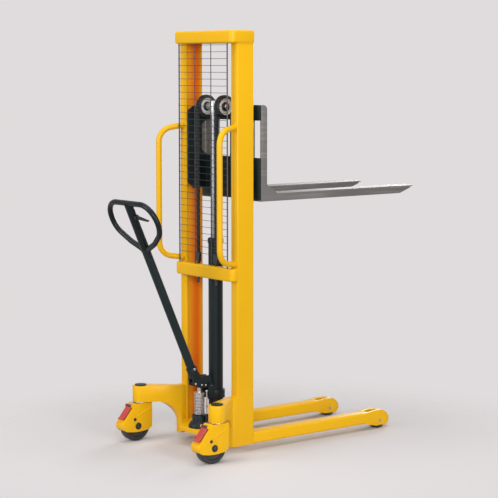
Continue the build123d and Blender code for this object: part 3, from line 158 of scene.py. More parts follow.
class Recipe:
    """The node tree of one finish, of the floor or of the world."""

    def __init__(self, owner):
        owner.use_nodes = True
        self.tree = owner.node_tree

    def add(self, kind, settings=None, sockets=None, output=0):
        """Any node. The output that is handed on is chosen by its number or its name."""
        node = self.tree.nodes.new(kind)
        for name, value in (settings or {}).items():
            if name == "stops":
                self.set_stops(node.color_ramp, value)
            else:
                setattr(node, name, value)
        for name, value in (sockets or {}).items():
            self.feed(node.inputs[name], value)
        return Value(self, node.outputs[output]) if node.outputs else None

    def set_stops(self, ramp, stops):
        """Gives a colour ramp its two grey stops."""
        for element, (position, shade) in zip(ramp.elements, stops):
            element.position = position
            element.color = (shade, shade, shade, 1)

    def feed(self, socket, value):
        """Links a wrapped socket to another one, or sets that one to a plain value."""
        if isinstance(value, Value):
            self.tree.links.new(value.socket, socket)
        else:
            socket.default_value = value

    def noise(self, scale, detail, stretch=EVEN):
        """Noise on the piece's own metres, drawn out by a Mapping node where stretch isn't even."""
        place = self.add("ShaderNodeTexCoord", output="Object")
        if stretch != EVEN:
            place = self.add("ShaderNodeMapping", None, {"Vector": place, "Scale": stretch})
        return self.add("ShaderNodeTexNoise", None, {"Vector": place, "Scale": scale, "Detail": detail})

    def ramp(self, value, *stops):
        """A value cut to the stretch between two stops."""
        return self.add("ShaderNodeValToRGB", {"stops": stops}, {"Fac": value})

    def mix(self, factor, first, second):
        """A colour between two others."""
        sockets = {MIX_FACTOR: factor, MIX_FIRST: first, MIX_SECOND: second}
        return self.add("ShaderNodeMix", {"data_type": "RGBA"}, sockets, MIX_RESULT)

    def bump(self, height, depth):
        """A normal bent by a height from 0 to 1 that stands for so many metres."""
        return self.add("ShaderNodeBump", None, {"Height": height, "Distance": depth, "Strength": 1.0})


print("a recipe adds any other node")

# %% [markdown]
# ## Floor and light
# A catalogue shot wants a pale, even ground. One big sheet does it: it keeps the truck's shadow near the
# wheels and turns clear further out, where the background's colour shows, so that no horizon cuts the
# picture. The light is a wide box overhead, one box behind the truck, one at its right side, a fill beside
# the camera and one in front for the side that the camera doesn't see. Together they light a surface at
# about the level of its own colour.

# %% Lay the floor
FLOOR_SIZE = 24.0
FLOOR_COLOUR = (0.635, 0.612, 0.617, 1)
FADE_FROM = 0.75
FADE_TO = 1.75

bpy.ops.mesh.primitive_plane_add(size=FLOOR_SIZE, location=(0, 0, 0))
floor = bpy.context.object
floor.name = "studio_floor"
floor.data.materials.append(bpy.data.materials.new("studio_floor"))
floor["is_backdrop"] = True
paper = Recipe(floor.data.materials[0])
paper.tree.nodes.clear()
spot = paper.add("ShaderNodeTexCoord", output="Object")
distance = paper.add("ShaderNodeVectorMath", {"operation": "LENGTH"}, {0: spot}, output="Value")
fade = paper.add(
    "ShaderNodeMapRange",
    {"interpolation_type": "SMOOTHSTEP"},
    {"Value": distance, "From Min": FADE_FROM, "From Max": FADE_TO},
)
matt = paper.add("ShaderNodeBsdfDiffuse", None, {"Color": FLOOR_COLOUR})
clear = paper.add("ShaderNodeBsdfTransparent")
sheet = paper.add("ShaderNodeMixShader", None, {0: fade, 1: matt, 2: clear})
paper.add("ShaderNodeOutputMaterial", None, {"Surface": sheet})
print("floor fades between", FADE_FROM, "and", FADE_TO, "m from the middle")

# %% Light the background and the room
BACKGROUND = (0.745, 0.716, 0.723, 1)
ROOM_TINT = (1, 0.985, 0.97, 1)
ROOM_LIGHT = 0.26

room = bpy.data.worlds.new("studio")
bpy.context.scene.world = room
sky = Recipe(room)
sky.tree.nodes.clear()
ray_seen = sky.add("ShaderNodeLightPath", output="Is Camera Ray")
ray_glossy = sky.add("ShaderNodeLightPath", output="Is Glossy Ray")
ray_through = sky.add("ShaderNodeLightPath", output="Is Transmission Ray")
shown = sky.add(
    "ShaderNodeMath",
    {"operation": "ADD", "use_clamp": True},
    {0: ray_seen + ray_glossy, 1: ray_through},
)
backdrop = sky.add("ShaderNodeBackground", None, {"Color": BACKGROUND, "Strength": 1.0})
ambient = sky.add("ShaderNodeBackground", None, {"Color": ROOM_TINT, "Strength": ROOM_LIGHT})
both = sky.add("ShaderNodeMixShader", None, {0: shown, 1: ambient, 2: backdrop})
sky.add("ShaderNodeOutputWorld", None, {"Surface": both})
print("room light", ROOM_LIGHT)

# %% Hang the softboxes
def softbox(name, place, aim, width, height, watts):
    """A rectangular lamp that points from its place at its aim."""
    bpy.ops.object.light_add(type="AREA", location=place)
    lamp = bpy.context.object
    lamp.name = name
    lamp.data.shape = "RECTANGLE"
    lamp.data.size = width
    lamp.data.size_y = height
    lamp.data.energy = watts
    lamp.rotation_euler = (Vector(aim) - Vector(place)).to_track_quat("-Z", "Y").to_euler()


softbox("overhead", place=(-0.6, -0.6, 4.6), aim=(0, 0, 0.8), width=4.0, height=4.0, watts=110)
softbox("rear_key", place=(-5.4, 0.9, 2.3), aim=(-0.2, 0, 0.8), width=2.4, height=2.4, watts=125)
softbox("side_key", place=(-0.9, -5.6, 1.7), aim=(0, 0, 0.8), width=1.6, height=2.4, watts=124)
softbox("fill", place=(-4.2, -4.8, 2.6), aim=(-0.2, 0, 1.0), width=1.6, height=1.6, watts=150)
softbox("front_fill", place=(4.4, 2.6, 2.6), aim=(0, 0, 0.9), width=2.4, height=2.4, watts=130)
print("five softboxes hung")

# %% [markdown]
# ## Finishes
# Each finish is a recipe round one shader. Its `lay` method takes plain words, such as rough and coat, and
# a small table turns them into the names of the shader's sockets. What is the same all over a surface goes
# in as a number, and what changes over it goes in as a link.

# %% A recipe that pieces can wear
SOCKETS = {
    "colour": "Base Color",
    "rough": "Roughness",
    "metal": "Metallic",
    "normal": "Normal",
    "specular": "Specular IOR Level",
    "coat": "Coat Weight",
    "coat_rough": "Coat Roughness",
}
finishes = {}


class Finish(Recipe):
    """The recipe of one finish."""

    def __init__(self, name):
        finishes[name] = bpy.data.materials.new(name)
        super().__init__(finishes[name])

    def tones(self, factor, dark, light):
        """A colour that goes from dark to light with its factor."""
        return self.mix(factor, (*dark, 1), (*light, 1))

    def lay(self, **layers):
        """Feeds the shader's sockets."""
        shader = self.tree.nodes["Principled BSDF"]
        for layer, value in layers.items():
            self.feed(shader.inputs[SOCKETS[layer]], value)


print("a finish has", len(SOCKETS), "layers")

# %% [markdown]
# ## Yellow enamel
# The mast, arms, legs and castor housings are sprayed with a glossy chrome-yellow enamel. Real spray coats
# aren't even: the tone drifts a little over a hand's breadth, the gloss drifts with it, and close up the
# film has the fine dimples that painters call orange peel. The drift is soft noise in colour and roughness,
# and the peel is a bump of a few hundredths of a millimetre.

# %% Mix the yellow enamel
enamel = Finish("yellow_paint")
drift = enamel.noise(scale=3.5, detail=3)
peel = enamel.noise(scale=650, detail=1)
enamel.lay(
    colour=enamel.tones(drift, dark=(0.745, 0.392, 0.004), light=(0.805, 0.454, 0.007)),
    rough=0.26 + 0.14 * drift,
    normal=enamel.bump(peel, depth=0.00006),
    specular=0.15,
    coat=0.05,
    coat_rough=0.15,
)
print("yellow enamel mixed")

# %% [markdown]
# ## Worn edges
# Paint draws thin over a corner, and that is where a truck gets knocked first. The rounded edges of the
# dressed steel get their own finish: the same enamel, a shade lighter, with a few small chips that dirt has
# browned. Chips are where one noise passes a threshold, so a colour ramp with two close stops cuts them
# out.

# %% Mix the enamel of the edges
CHIP_BROWN = (0.30, 0.24, 0.17, 1)

edge = Finish("yellow_edge")
drift = edge.noise(scale=3.5, detail=3)
chips = edge.ramp(edge.noise(scale=95, detail=4), (0.66, 0.0), (0.70, 1.0))
film = edge.tones(drift, dark=(0.775, 0.42, 0.008), light=(0.835, 0.48, 0.014))
edge.lay(
    colour=edge.mix(chips, film, CHIP_BROWN),
    rough=0.28 + 0.3 * chips,
    specular=0.15,
    coat=0.05,
)
print("edges mixed")

# %% [markdown]
# ## Inside the columns
# Inside a channel the walls shade each other, most of all in the front corner, and light that has already
# bounced off yellow paint makes them look warmer. So the channels get a finish of their own, less glossy,
# whose colour is painted shade: orange that turns red towards that corner. The shader measures how far a
# point is from the corner, seen from above, and folds the right side over the left one, so that one corner
# serves both columns.

# %% Mix the painted shade of the channels
COLUMN_WALL = 0.0065
SHADE_FROM = 0.008
SHADE_TO = 0.040
STREAK_SHARE = 0.15

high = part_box("left_column")[1]
corner = (abs(high.x - COLUMN_WALL), high.y - COLUMN_WALL, 0)
channel_shade = Finish("yellow_inside")
streaks = channel_shade.noise(scale=5, detail=4, stretch=(1, 1, 0.25))
place = channel_shade.add("ShaderNodeTexCoord", output="Object")
level = channel_shade.add("ShaderNodeVectorMath", {"operation": "MULTIPLY"}, {0: place, 1: (1, 1, 0)})
folded = channel_shade.add("ShaderNodeVectorMath", {"operation": "ABSOLUTE"}, {0: level})
away = channel_shade.add("ShaderNodeVectorMath", {"operation": "DISTANCE"}, {0: folded, 1: corner}, output="Value")
# painted shade: darkest and reddest at the channel's front corner, lighter and more orange further from it
corner_shade_falloff = channel_shade.add("ShaderNodeMapRange", None, {"Value": away, "From Min": SHADE_FROM, "From Max": SHADE_TO})
shade_and_streaks = (1 - STREAK_SHARE) * corner_shade_falloff + STREAK_SHARE * streaks
channel_shade.lay(
    colour=channel_shade.tones(shade_and_streaks, dark=(0.88, 0.20, 0.016), light=(0.98, 0.47, 0.020)),
    rough=0.42 + 0.16 * streaks,
    specular=0.15,
)
print("thin coat mixed")

# %% [markdown]
# ## Black paint
# The cylinder, the carriage and the tiller wear a satin black with a green-blue cast. It is thinner than
# the enamel, so the steel's own texture shows through it as a faint mottle, and dust lightens it in
# patches. Its edges are rubbed paler, and the grip has a smoother, darker coating.

# %% Mix the blacks
black = Finish("black_paint")
dust = black.noise(scale=9, detail=5)
mottle = black.noise(scale=420, detail=2)
black.lay(
    colour=black.tones(dust, dark=(0.0055, 0.0125, 0.0145), light=(0.0105, 0.020, 0.023)),
    rough=0.30 + 0.22 * dust,
    normal=black.bump(mottle, depth=0.00008),
    specular=0.20,
)

edge = Finish("black_edge")
rub = edge.noise(scale=70, detail=4)
edge.lay(
    colour=edge.tones(rub, dark=(0.014, 0.021, 0.023), light=(0.045, 0.052, 0.055)),
    rough=0.26 + 0.18 * rub,
    specular=0.35,
)

coating = Finish("grip_coating")
sheen = coating.noise(scale=30, detail=3)
stipple = coating.noise(scale=900, detail=1)
coating.lay(
    colour=coating.tones(sheen, dark=(0.0045, 0.008, 0.009), light=(0.009, 0.014, 0.016)),
    rough=0.20 + 0.12 * sheen,
    normal=coating.bump(stipple, depth=0.00003),
    specular=0.18,
)
print("three blacks mixed")

# %% [markdown]
# ## Fork steel
# The forks are painted a warm grey that pallets wear away. Scuffs run the way that loads slide, along X, so
# the noise that makes them is drawn out along X by a Mapping node. Where they are deepest the bare metal
# shows.

# %% Mix the fork steel
RUBBED_STEEL = (0.34, 0.33, 0.32, 1)
ALONG_FORKS = (0.06, 1.4, 1.4)

fork = Finish("fork_steel")
tone = fork.noise(scale=6, detail=4)
scuffs = fork.ramp(fork.noise(scale=60, detail=4, stretch=ALONG_FORKS), (0.52, 0.0), (0.75, 1.0))
grey = fork.tones(tone, dark=(0.122, 0.113, 0.109), light=(0.174, 0.165, 0.160))
fork.lay(
    colour=fork.mix(0.55 * scuffs, grey, RUBBED_STEEL),
    rough=0.50 - 0.14 * scuffs + 0.1 * tone,
    metal=0.15 + 0.5 * scuffs,
    normal=fork.bump(scuffs, depth=0.00005),
)

edge = Finish("fork_edge")
rub = edge.noise(scale=45, detail=4)
edge.lay(
    colour=edge.tones(rub, dark=(0.17, 0.16, 0.15), light=(0.42, 0.41, 0.40)),
    rough=0.45 - 0.15 * rub,
    metal=0.3 + 0.5 * rub,
)
print("fork steel mixed")

# %% [markdown]
# ## Bare metals
# The ram is hard chrome, ground round, so its faint marks run across its length. Pins, rollers and nuts are
# turned steel with a zinc coat, the spring is brighter zinc, and the chains and the guard are dark with
# oil. Each is a metallic shader whose roughness changes along the marks of its making. The pulleys' zinc is
# made nearly white and hardly metallic, so its colour is partly a painted highlight for the light the webs catch.

# %% Mix the metals
def metal(name, dark, light, rough, spread, scale, stretch=EVEN):
    """A bare metal, whose marks may be drawn out along one way."""
    finish = Finish(name)
    marks = finish.noise(scale, detail=4, stretch=stretch)
    finish.lay(
        colour=finish.tones(marks, dark, light),
        rough=rough + spread * marks,
        normal=finish.bump(marks, depth=0.00003),
        metal=1.0,
    )


metal(
    "ram_chrome", dark=(0.19, 0.20, 0.21), light=(0.27, 0.28, 0.29),
    rough=0.30, spread=0.14, scale=90, stretch=(0.15, 0.15, 2.0),
)
metal(
    "bright_steel", dark=(0.36, 0.36, 0.36), light=(0.60, 0.59, 0.57),
    rough=0.24, spread=0.20, scale=70,
)
metal(
    "spring_zinc", dark=(0.42, 0.41, 0.43), light=(0.56, 0.55, 0.57),
    rough=0.36, spread=0.18, scale=120,
)
metal(
    "chain_steel", dark=(0.030, 0.034, 0.036), light=(0.105, 0.110, 0.112),
    rough=0.30, spread=0.25, scale=140,
)
metal(
    "guard_wire", dark=(0.04, 0.04, 0.04), light=(0.10, 0.10, 0.10),
    rough=0.36, spread=0.22, scale=110, stretch=(1, 1, 0.3),
)

# zinc of the pulley webs, nearly white: partly a painted highlight standing for the light that they catch
zinc = Finish("pulley_zinc")
marks = zinc.noise(scale=60, detail=3)
zinc.lay(
    colour=zinc.tones(marks, dark=(0.70, 0.70, 0.69), light=(0.84, 0.84, 0.83)),
    rough=0.36 + 0.16 * marks,
    metal=0.15,
)
print("six metals mixed")

# %% [markdown]
# ## Wheels and pedals
# The wheels are black moulded nylon, scuffed grey where they roll. The brake pedals are a red moulding that
# has faded towards pink in patches, and that is dark with grease where it turns on its pin.

# %% Mix the plastics
nylon = Finish("wheel_nylon")
scuff = nylon.noise(scale=38, detail=5)
pores = nylon.noise(scale=800, detail=1)
nylon.lay(
    colour=nylon.tones(scuff, dark=(0.010, 0.011, 0.012), light=(0.036, 0.037, 0.038)),
    rough=0.38 + 0.25 * scuff,
    normal=nylon.bump(pores, depth=0.00006),
)

red = Finish("pedal_red")
fading = red.noise(scale=26, detail=4)
leather = red.noise(scale=520, detail=2)
red.lay(
    colour=red.tones(fading, dark=(0.42, 0.030, 0.026), light=(0.56, 0.065, 0.055)),
    rough=0.36 + 0.2 * fading,
    normal=red.bump(leather, depth=0.00008),
)

greasy = Finish("pedal_hinge")
grease = greasy.noise(scale=60, detail=3)
greasy.lay(
    colour=greasy.tones(grease, dark=(0.060, 0.014, 0.012), light=(0.130, 0.028, 0.024)),
    rough=0.30 + 0.2 * grease,
)
print("plastics mixed")

# %% Give every solid its finish
for node, solid in nodes.items():
    solid.data.materials.clear()
    solid.data.materials.append(finishes[slot_of[node]])
print(len(nodes), "solids finished with", len(finishes), "materials")

# %% [markdown]
# ## Working on one piece at a time
# Blender's operators act on whatever is selected, and loading the frame leaves all its solids selected. So
# each step first selects its one piece, and a finished piece goes through the same last stop: its place is
# put into its mesh, it gets its finishes, it is told which body it moves with, and which solids it stands
# for.

# %% Helpers for a single piece
def only(piece):
    """Selects one object, alone, and makes it the active one."""
    bpy.ops.object.select_all(action="DESELECT")
    piece.select_set(True)
    bpy.context.view_layer.objects.active = piece


def apply_modifier(piece, kind, **settings):
    """Adds a modifier with its settings and applies it."""
    only(piece)
    modifier = piece.modifiers.new(kind.lower(), kind)
    for name, value in settings.items():
        setattr(modifier, name, value)
    bpy.ops.object.modifier_apply(modifier=modifier.name)


def dress(piece, name, body, *finish_names, stands_for=(), slot=None):
    """Names a piece, gives it its finishes and any body, and hides the solids that it stands for."""
    piece.name = name
    only(piece)
    bpy.ops.object.transform_apply(location=True, rotation=True, scale=True)
    piece.data.materials.clear()
    for finish in finish_names:
        piece.data.materials.append(finishes[finish])
    if body:
        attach(piece, body)
    if stands_for:
        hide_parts(*stands_for)
    return piece


print("helpers ready")

# %% [markdown]
# ## Folded and sawn steel
# A solid from CAD has edges of no width, which catch no light. Folded plate has a bend radius, and a sawn
# or flame-cut edge is ground by hand. A copy of each steel solid is merged, its flat faces are joined up
# again, and a Bevel modifier rounds the edges that are sharper than a fold line. The bevel's own faces take
# the second finish, so paint can wear there.

# %% Round the edges of steel
EDGE_ANGLE = math.radians(28)       # sharper edges are rounded
SMOOTH_ANGLE = math.radians(32)     # flatter edges are shaded smooth
FLAT_ANGLE = math.radians(0.6)      # flatter edges are dissolved
MERGE_WITHIN = 0.000002
EDGE_FINISH = 1                     # the second finish, counted from 0
EDGE_STEPS = 2
FRAME_EDGE = 0.0015


def merged_copy(node):
    """A copy of a solid whose loose triangles are joined into whole faces."""
    piece = bpy.data.objects.new(node, nodes[node].data.copy())
    bpy.context.collection.objects.link(piece)
    only(piece)
    bpy.ops.mesh.customdata_custom_splitnormals_clear()
    bpy.ops.object.mode_set(mode="EDIT")
    bpy.ops.mesh.select_all(action="SELECT")
    bpy.ops.mesh.remove_doubles(threshold=MERGE_WITHIN)
    bpy.ops.mesh.dissolve_limited(angle_limit=FLAT_ANGLE)
    bpy.ops.object.mode_set(mode="OBJECT")
    return piece


def ground_edges(piece, width):
    """Rounds the sharp edges of a piece. The round takes the second finish."""
    while len(piece.data.materials) <= EDGE_FINISH:
        piece.data.materials.append(None)
    apply_modifier(
        piece, "BEVEL", limit_method="ANGLE", angle_limit=EDGE_ANGLE, width=width, segments=EDGE_STEPS,
        use_clamp_overlap=True, material=EDGE_FINISH, miter_outer="MITER_ARC",
    )
    bpy.ops.object.shade_smooth_by_angle(angle=SMOOTH_ANGLE)


def soften(node, width, *finish_names, slot=None):
    """A copy of a solid with rounded edges, which stands for it."""
    piece = merged_copy(node)
    ground_edges(piece, width)
    return dress(piece, f"{node}_dressed", body_of[node], *finish_names, stands_for=[node], slot=slot)


for node in ("left_arm", "right_arm", "base_plate", "left_leg", "right_leg"):
    dressed = soften(node, FRAME_EDGE, "yellow_paint", "yellow_edge")
    print(dressed.name, len(dressed.data.polygons), "faces")

# %% [markdown]
# ## Beams with round ends
# The two beams are pressed from thick sheet, so their rear corners and their rims are rounder than a ground
# edge. Each starts as a block of the beam's size. Its rear upright edges are bevelled first and its rims
# after them, but not the front edges that sit on the columns. A second block then cuts the hollow under the
# top beam.

# %% Helpers for a pressed block
def block(low, high):
    """A box between two corners."""
    bpy.ops.object.select_all(action="DESELECT")
    bpy.ops.mesh.primitive_cube_add(size=1, location=(low + high) / 2)
    piece = bpy.context.object
    piece.scale = high - low
    bpy.ops.object.transform_apply(location=True, rotation=True, scale=True)
    return piece


def bevel_edges(piece, width, segments, chosen):
    """Bevels the edges whose two ends are chosen."""
    only(piece)
    bpy.ops.object.mode_set(mode="EDIT")
    bpy.ops.mesh.select_mode(type="EDGE")
    bpy.ops.mesh.select_all(action="DESELECT")
    bpy.ops.object.mode_set(mode="OBJECT")
    for edge in piece.data.edges:
        edge.select = chosen(*[piece.data.vertices[number].co for number in edge.vertices])
    bpy.ops.object.mode_set(mode="EDIT")
    bpy.ops.mesh.bevel(offset=width, segments=segments, affect="EDGES")
    bpy.ops.mesh.select_mode(type="VERT")
    bpy.ops.object.mode_set(mode="OBJECT")


print("blocks can be bevelled edge by edge")

# %% Press the beams
BEAM_CORNER = 0.024
BEAM_RIM = 0.010
BEAM_SKIN = 0.006
CORNER_STEPS = 8
RIM_STEPS = 5
NEAR = 0.001        # places this close count as one


def pressed_beam(node):
    """A block of a beam's size, with round rear corners and rims."""
    low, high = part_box(node)

    def rear_upright(a, b):
        return abs(a.z - b.z) > NEAR and max(a.x, b.x) < low.x + NEAR

    def free_rim(a, b):
        on_top = node == "top_beam" and min(a.z, b.z) > high.z - NEAR
        return abs(a.z - b.z) < NEAR and (min(a.x, b.x) < high.x - NEAR or on_top)

    beam = block(low, high)
    bevel_edges(beam, BEAM_CORNER, CORNER_STEPS, rear_upright)
    bevel_edges(beam, BEAM_RIM, RIM_STEPS, free_rim)
    return beam


def hollow_out(beam, node):
    """Cuts the space between the columns' tops out of a beam, from below."""
    low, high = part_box(node)
    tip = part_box("left_column")[0].y - 2 * BEAM_SKIN
    space = block(
        Vector((low.x + 2 * BEAM_SKIN, -tip, low.z - BEAM_SKIN)),
        Vector((high.x - 2 * BEAM_SKIN, tip, high.z - BEAM_SKIN)),
    )
    apply_modifier(beam, "BOOLEAN", operation="DIFFERENCE", solver="EXACT", object=space)
    bpy.data.objects.remove(space)


for node in ("top_beam", "middle_beam"):
    beam = pressed_beam(node)
    if node == "top_beam":
        hollow_out(beam, node)
    ground_edges(beam, FRAME_EDGE)
    dress(beam, f"{node}_dressed", body_of[node], "yellow_paint", "yellow_edge", stands_for=[node])
    print(beam.name, len(beam.data.polygons), "faces")

# %% [markdown]
# The black steel of the carriage and the pump gets the same treatment with a smaller radius, and so do the
# ram's bright head and the forks, whose edges are rubbed down to bare metal by every pallet that slides
# over them.

# %% Round the edges of the lifting parts
CARRIAGE_EDGE = 0.0010
FORK_EDGE = 0.0014
HEAD_EDGE = 0.0008
SMALL_EDGE = 0.0006

for node in ("carriage_left_plate", "carriage_right_plate", "carriage_upper_bar", "carriage_lower_plate",
             "cylinder_clamp", "tiller_bracket", "tiller_foot", "pump_body", "cylinder_gland"):
    soften(node, CARRIAGE_EDGE, "black_paint", "black_edge")
for node in ("left_fork", "right_fork"):
    soften(node, FORK_EDGE, "fork_steel", "fork_edge")
for node in ("crosshead", "sheave_spacers"):
    soften(node, HEAD_EDGE, "bright_steel", "bright_steel")
for node in ("chain_anchors", "chain_clevises", "tiller_pin"):
    soften(node, SMALL_EDGE, "chain_steel", "chain_steel", slot="bright_steel")
print("carriage, forks and pump rounded")

# %% [markdown]
# ## Columns, castor housings and pulleys
# Some pieces wear more than one finish. After their edges are rounded, a face's finish is chosen by where
# the face is. A column gets painted shade inside its channel. A castor housing is one pressing with its kingpin,
# bearing race and cap: black above the arm, bare steel in the gap where the race turns, yellow below. The
# pulleys are sorted by distance from their axle into a dark hub, a bright web whose near-white colour is
# partly a painted highlight, and a rim that the chain keeps oily.

# %% Sort faces by place
def middle_of(node):
    """The middle of a solid's box."""
    low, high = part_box(node)
    return (low + high) / 2


def repaint(piece, choose, *place):
    """Gives each face the finish that choose names for it. Where that is None, the face keeps its own."""
    worn = list(piece.data.materials)
    for face in piece.data.polygons:
        finish = choose(face, *place)
        if finish:
            face.material_index = worn.index(finishes[finish])


def from_axle(piece, face, middle):
    """How far a face's corners lie, on average, from the level axle through a point."""
    corners = [piece.data.vertices[number].co for number in face.vertices]
    return sum((corner - middle).xz.length for corner in corners) / len(corners)


def near_axle(face, piece, middle, radius, finish):
    """The finish, for a face that is closer to the axle than a radius."""
    return finish if from_axle(piece, face, middle) < radius else None


print("faces can be sorted")

# %% Choose the finishes of the sorted pieces
CHANNEL_MARGIN = 0.002      # a face this far inside a column's outline is in its channel
HOUSING_TOP = 0.187
HOUSING_NOSE = 0.046        # from a kingpin to the front of its housing
RACE_RADIUS = 0.032
ROUNDING = 0.0002           # slack in a height
WEB_FROM = 0.0225
WEB_TO = 0.0395


def kingpin_of(side):
    """The point on the floor under a castor's kingpin."""
    low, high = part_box(f"{side}_castor_housing")
    return Vector((high.x - HOUSING_NOSE, (low.y + high.y) / 2, 0))


def column_finish(face, low, high):
    """Painted shade inside a column's outline, seen from above."""
    inside_x = low.x + CHANNEL_MARGIN < face.center.x < high.x - CHANNEL_MARGIN
    inside_y = low.y + CHANNEL_MARGIN < face.center.y < high.y - CHANNEL_MARGIN
    return "yellow_inside" if inside_x and inside_y else None


def housing_finish(face, kingpin, arm_top):
    """Black above the arm, and bare steel on the race below it."""
    if face.center.z > arm_top:
        return "black_paint"
    on_race = (face.center - kingpin).xy.length < RACE_RADIUS
    return "bright_steel" if on_race and face.center.z > HOUSING_TOP - ROUNDING else None


def pulley_finish(face, sheave, middle):
    """Dark on the hub and the rim, on both sides of the bright web."""
    return None if WEB_FROM < from_axle(sheave, face, middle) < WEB_TO else "chain_steel"


print("kingpins at", [round(kingpin_of(side).y, 3) for side in ("left", "right")])

# %% Dress the columns, castor housings and pulleys
HOUSING_EDGE = 0.0011

arm_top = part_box("left_arm")[1].z
for side in ("left", "right"):
    node = f"{side}_column"
    column = soften(node, FRAME_EDGE, "yellow_paint", "yellow_edge", "yellow_inside")
    repaint(column, column_finish, *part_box(node))
    node = f"{side}_castor_housing"
    housing = soften(node, HOUSING_EDGE, "yellow_paint", "yellow_edge", "black_paint", "bright_steel")
    repaint(housing, housing_finish, kingpin_of(side), arm_top)
    node = f"{side}_sheave"
    sheave = soften(node, SMALL_EDGE, "pulley_zinc", "pulley_zinc", "chain_steel", slot="bright_steel")
    repaint(sheave, pulley_finish, sheave, middle_of(node))
    print(column.name, housing.name, "and", sheave.name, "sorted")

# %% [markdown]
# ## Wire guard
# A guard of thin dark wire keeps the operator's hands off the chains. On the real one, cross wires are
# spot-welded to uprights, of which the outer two are thicker, and each weld leaves a small nub. One wire is
# extruded from a circle and arrayed up the mast, the uprights are arrayed across it, and one flattened ball
# is arrayed both ways for the welds.

# %% Steps that several pieces share
def disc(place, radius, sides, rotation=(0, 0, 0)):
    """A flat round face, from which a round piece is drawn out."""
    bpy.ops.object.select_all(action="DESELECT")
    bpy.ops.mesh.primitive_circle_add(
        vertices=sides, radius=radius, fill_type="NGON", location=place, rotation=rotation,
    )
    bpy.ops.object.transform_apply(location=True, rotation=True, scale=True)
    return bpy.context.object


def draw_out(step):
    """Extrudes what is selected by a step."""
    bpy.ops.mesh.extrude_region_move(TRANSFORM_OT_translate={"value": step})


def close_up():
    """Turns all faces outwards and leaves edit mode."""
    bpy.ops.mesh.select_all(action="SELECT")
    bpy.ops.mesh.normals_make_consistent(inside=False)
    bpy.ops.object.mode_set(mode="OBJECT")


def repeat(piece, count, step):
    """Arrays a piece along a step."""
    apply_modifier(
        piece, "ARRAY", count=count, use_relative_offset=False, use_constant_offset=True,
        constant_offset_displace=step,
    )


def joined(*pieces):
    """Joins pieces into the first one."""
    only(pieces[0])
    for piece in pieces:
        piece.select_set(True)
    bpy.ops.object.join()
    bpy.ops.object.shade_smooth_by_angle(angle=SMOOTH_ANGLE)
    return pieces[0]


print("pieces can be drawn out, arrayed and joined")

# %% Draw a wire from a circle
ROD_RIM = 0.15                      # bevel of a rod's rims, as a share of its radius
ROD_RIM_ANGLE = math.radians(60)


def rod(start, end, radius, sides):
    """A straight round bar from start to end, with a small bevel on both rims."""
    run = Vector(end) - Vector(start)
    bar = disc(start, radius, sides, run.to_track_quat("Z", "Y").to_euler())
    bpy.ops.object.mode_set(mode="EDIT")
    draw_out(run)
    close_up()
    apply_modifier(
        bar, "BEVEL", limit_method="ANGLE", angle_limit=ROD_RIM_ANGLE, width=ROD_RIM * radius, segments=1,
    )
    return bar


print("rods can be drawn")

# %% Space the guard's wires
CROSS_WIRE = 0.0011
UPRIGHT_WIRE = 0.0022
EDGE_WIRE = 0.0034
CROSS_SIDES = 8
UPRIGHT_SIDES = 10
ROW_PITCH = 0.032
ROWS = 32
UPRIGHTS = 4
GUARD_TOP_ROW = 1.932
EDGE_INSET = 0.0025     # from the guard's side to the middle of its outer upright
UPRIGHT_SET = 0.0012    # how far the uprights are set forward of the guard's middle

low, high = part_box("guard_mesh")
guard_x = middle_of("guard_mesh").x
cross_x = guard_x - CROSS_WIRE
upright_x = guard_x + UPRIGHT_SET
first_y = low.y + EDGE_INSET
upright_step = (high.y - low.y - 2 * EDGE_INSET) / (UPRIGHTS - 1)
second_y = first_y + upright_step
first_z = GUARD_TOP_ROW - ROW_PITCH * (ROWS - 1)
print("uprights every", round(1000 * upright_step, 1), "mm, lowest cross wire at", round(first_z, 3), "m")

# %% Weld the guard together
NUB_RADIUS = 0.0026
NUB_SIDES = 6
NUB_RINGS = 4
NUB_SHAPE = (0.6, 1.25, 0.9)
NUB_SET = 0.001         # nubs are flattened about a point this far behind the guard's middle

cross_wires = rod((cross_x, low.y, first_z), (cross_x, high.y, first_z), CROSS_WIRE, CROSS_SIDES)
repeat(cross_wires, ROWS, (0, 0, ROW_PITCH))
uprights = rod((upright_x, second_y, low.z), (upright_x, second_y, high.z), UPRIGHT_WIRE, UPRIGHT_SIDES)
repeat(uprights, UPRIGHTS - 2, (0, upright_step, 0))
edges = rod((upright_x, first_y, low.z), (upright_x, first_y, high.z), EDGE_WIRE, UPRIGHT_SIDES)
repeat(edges, 2, (0, (UPRIGHTS - 1) * upright_step, 0))
bpy.ops.object.select_all(action="DESELECT")
bpy.ops.mesh.primitive_uv_sphere_add(
    segments=NUB_SIDES, ring_count=NUB_RINGS, radius=NUB_RADIUS, location=(guard_x, first_y, first_z),
)
nubs = bpy.context.object
bpy.ops.object.transform_apply(location=True)
bpy.ops.object.mode_set(mode="EDIT")
bpy.ops.transform.resize(value=NUB_SHAPE, center_override=(guard_x - NUB_SET, first_y, first_z))
bpy.ops.object.mode_set(mode="OBJECT")
repeat(nubs, ROWS, (0, 0, ROW_PITCH))
repeat(nubs, UPRIGHTS, (0, upright_step, 0))
guard = joined(cross_wires, uprights, edges, nubs)
dress(guard, "guard_wires", "frame", "guard_wire", stands_for=["guard_mesh"])
print("guard of", ROWS, "cross wires and", UPRIGHTS, "uprights,", len(guard.data.polygons), "faces")

# %% [markdown]
# ## Return spring
# A compression spring pushes the pump's plunger back up. Its wire is one long helix whose end turns close
# up and lie flat on their seats. A curve whose points come from that formula, with a round bevel, gives the
# wire, and it becomes a mesh of its own.

# %% Draw a tube along points
TUBE_SMOOTH = math.radians(50)


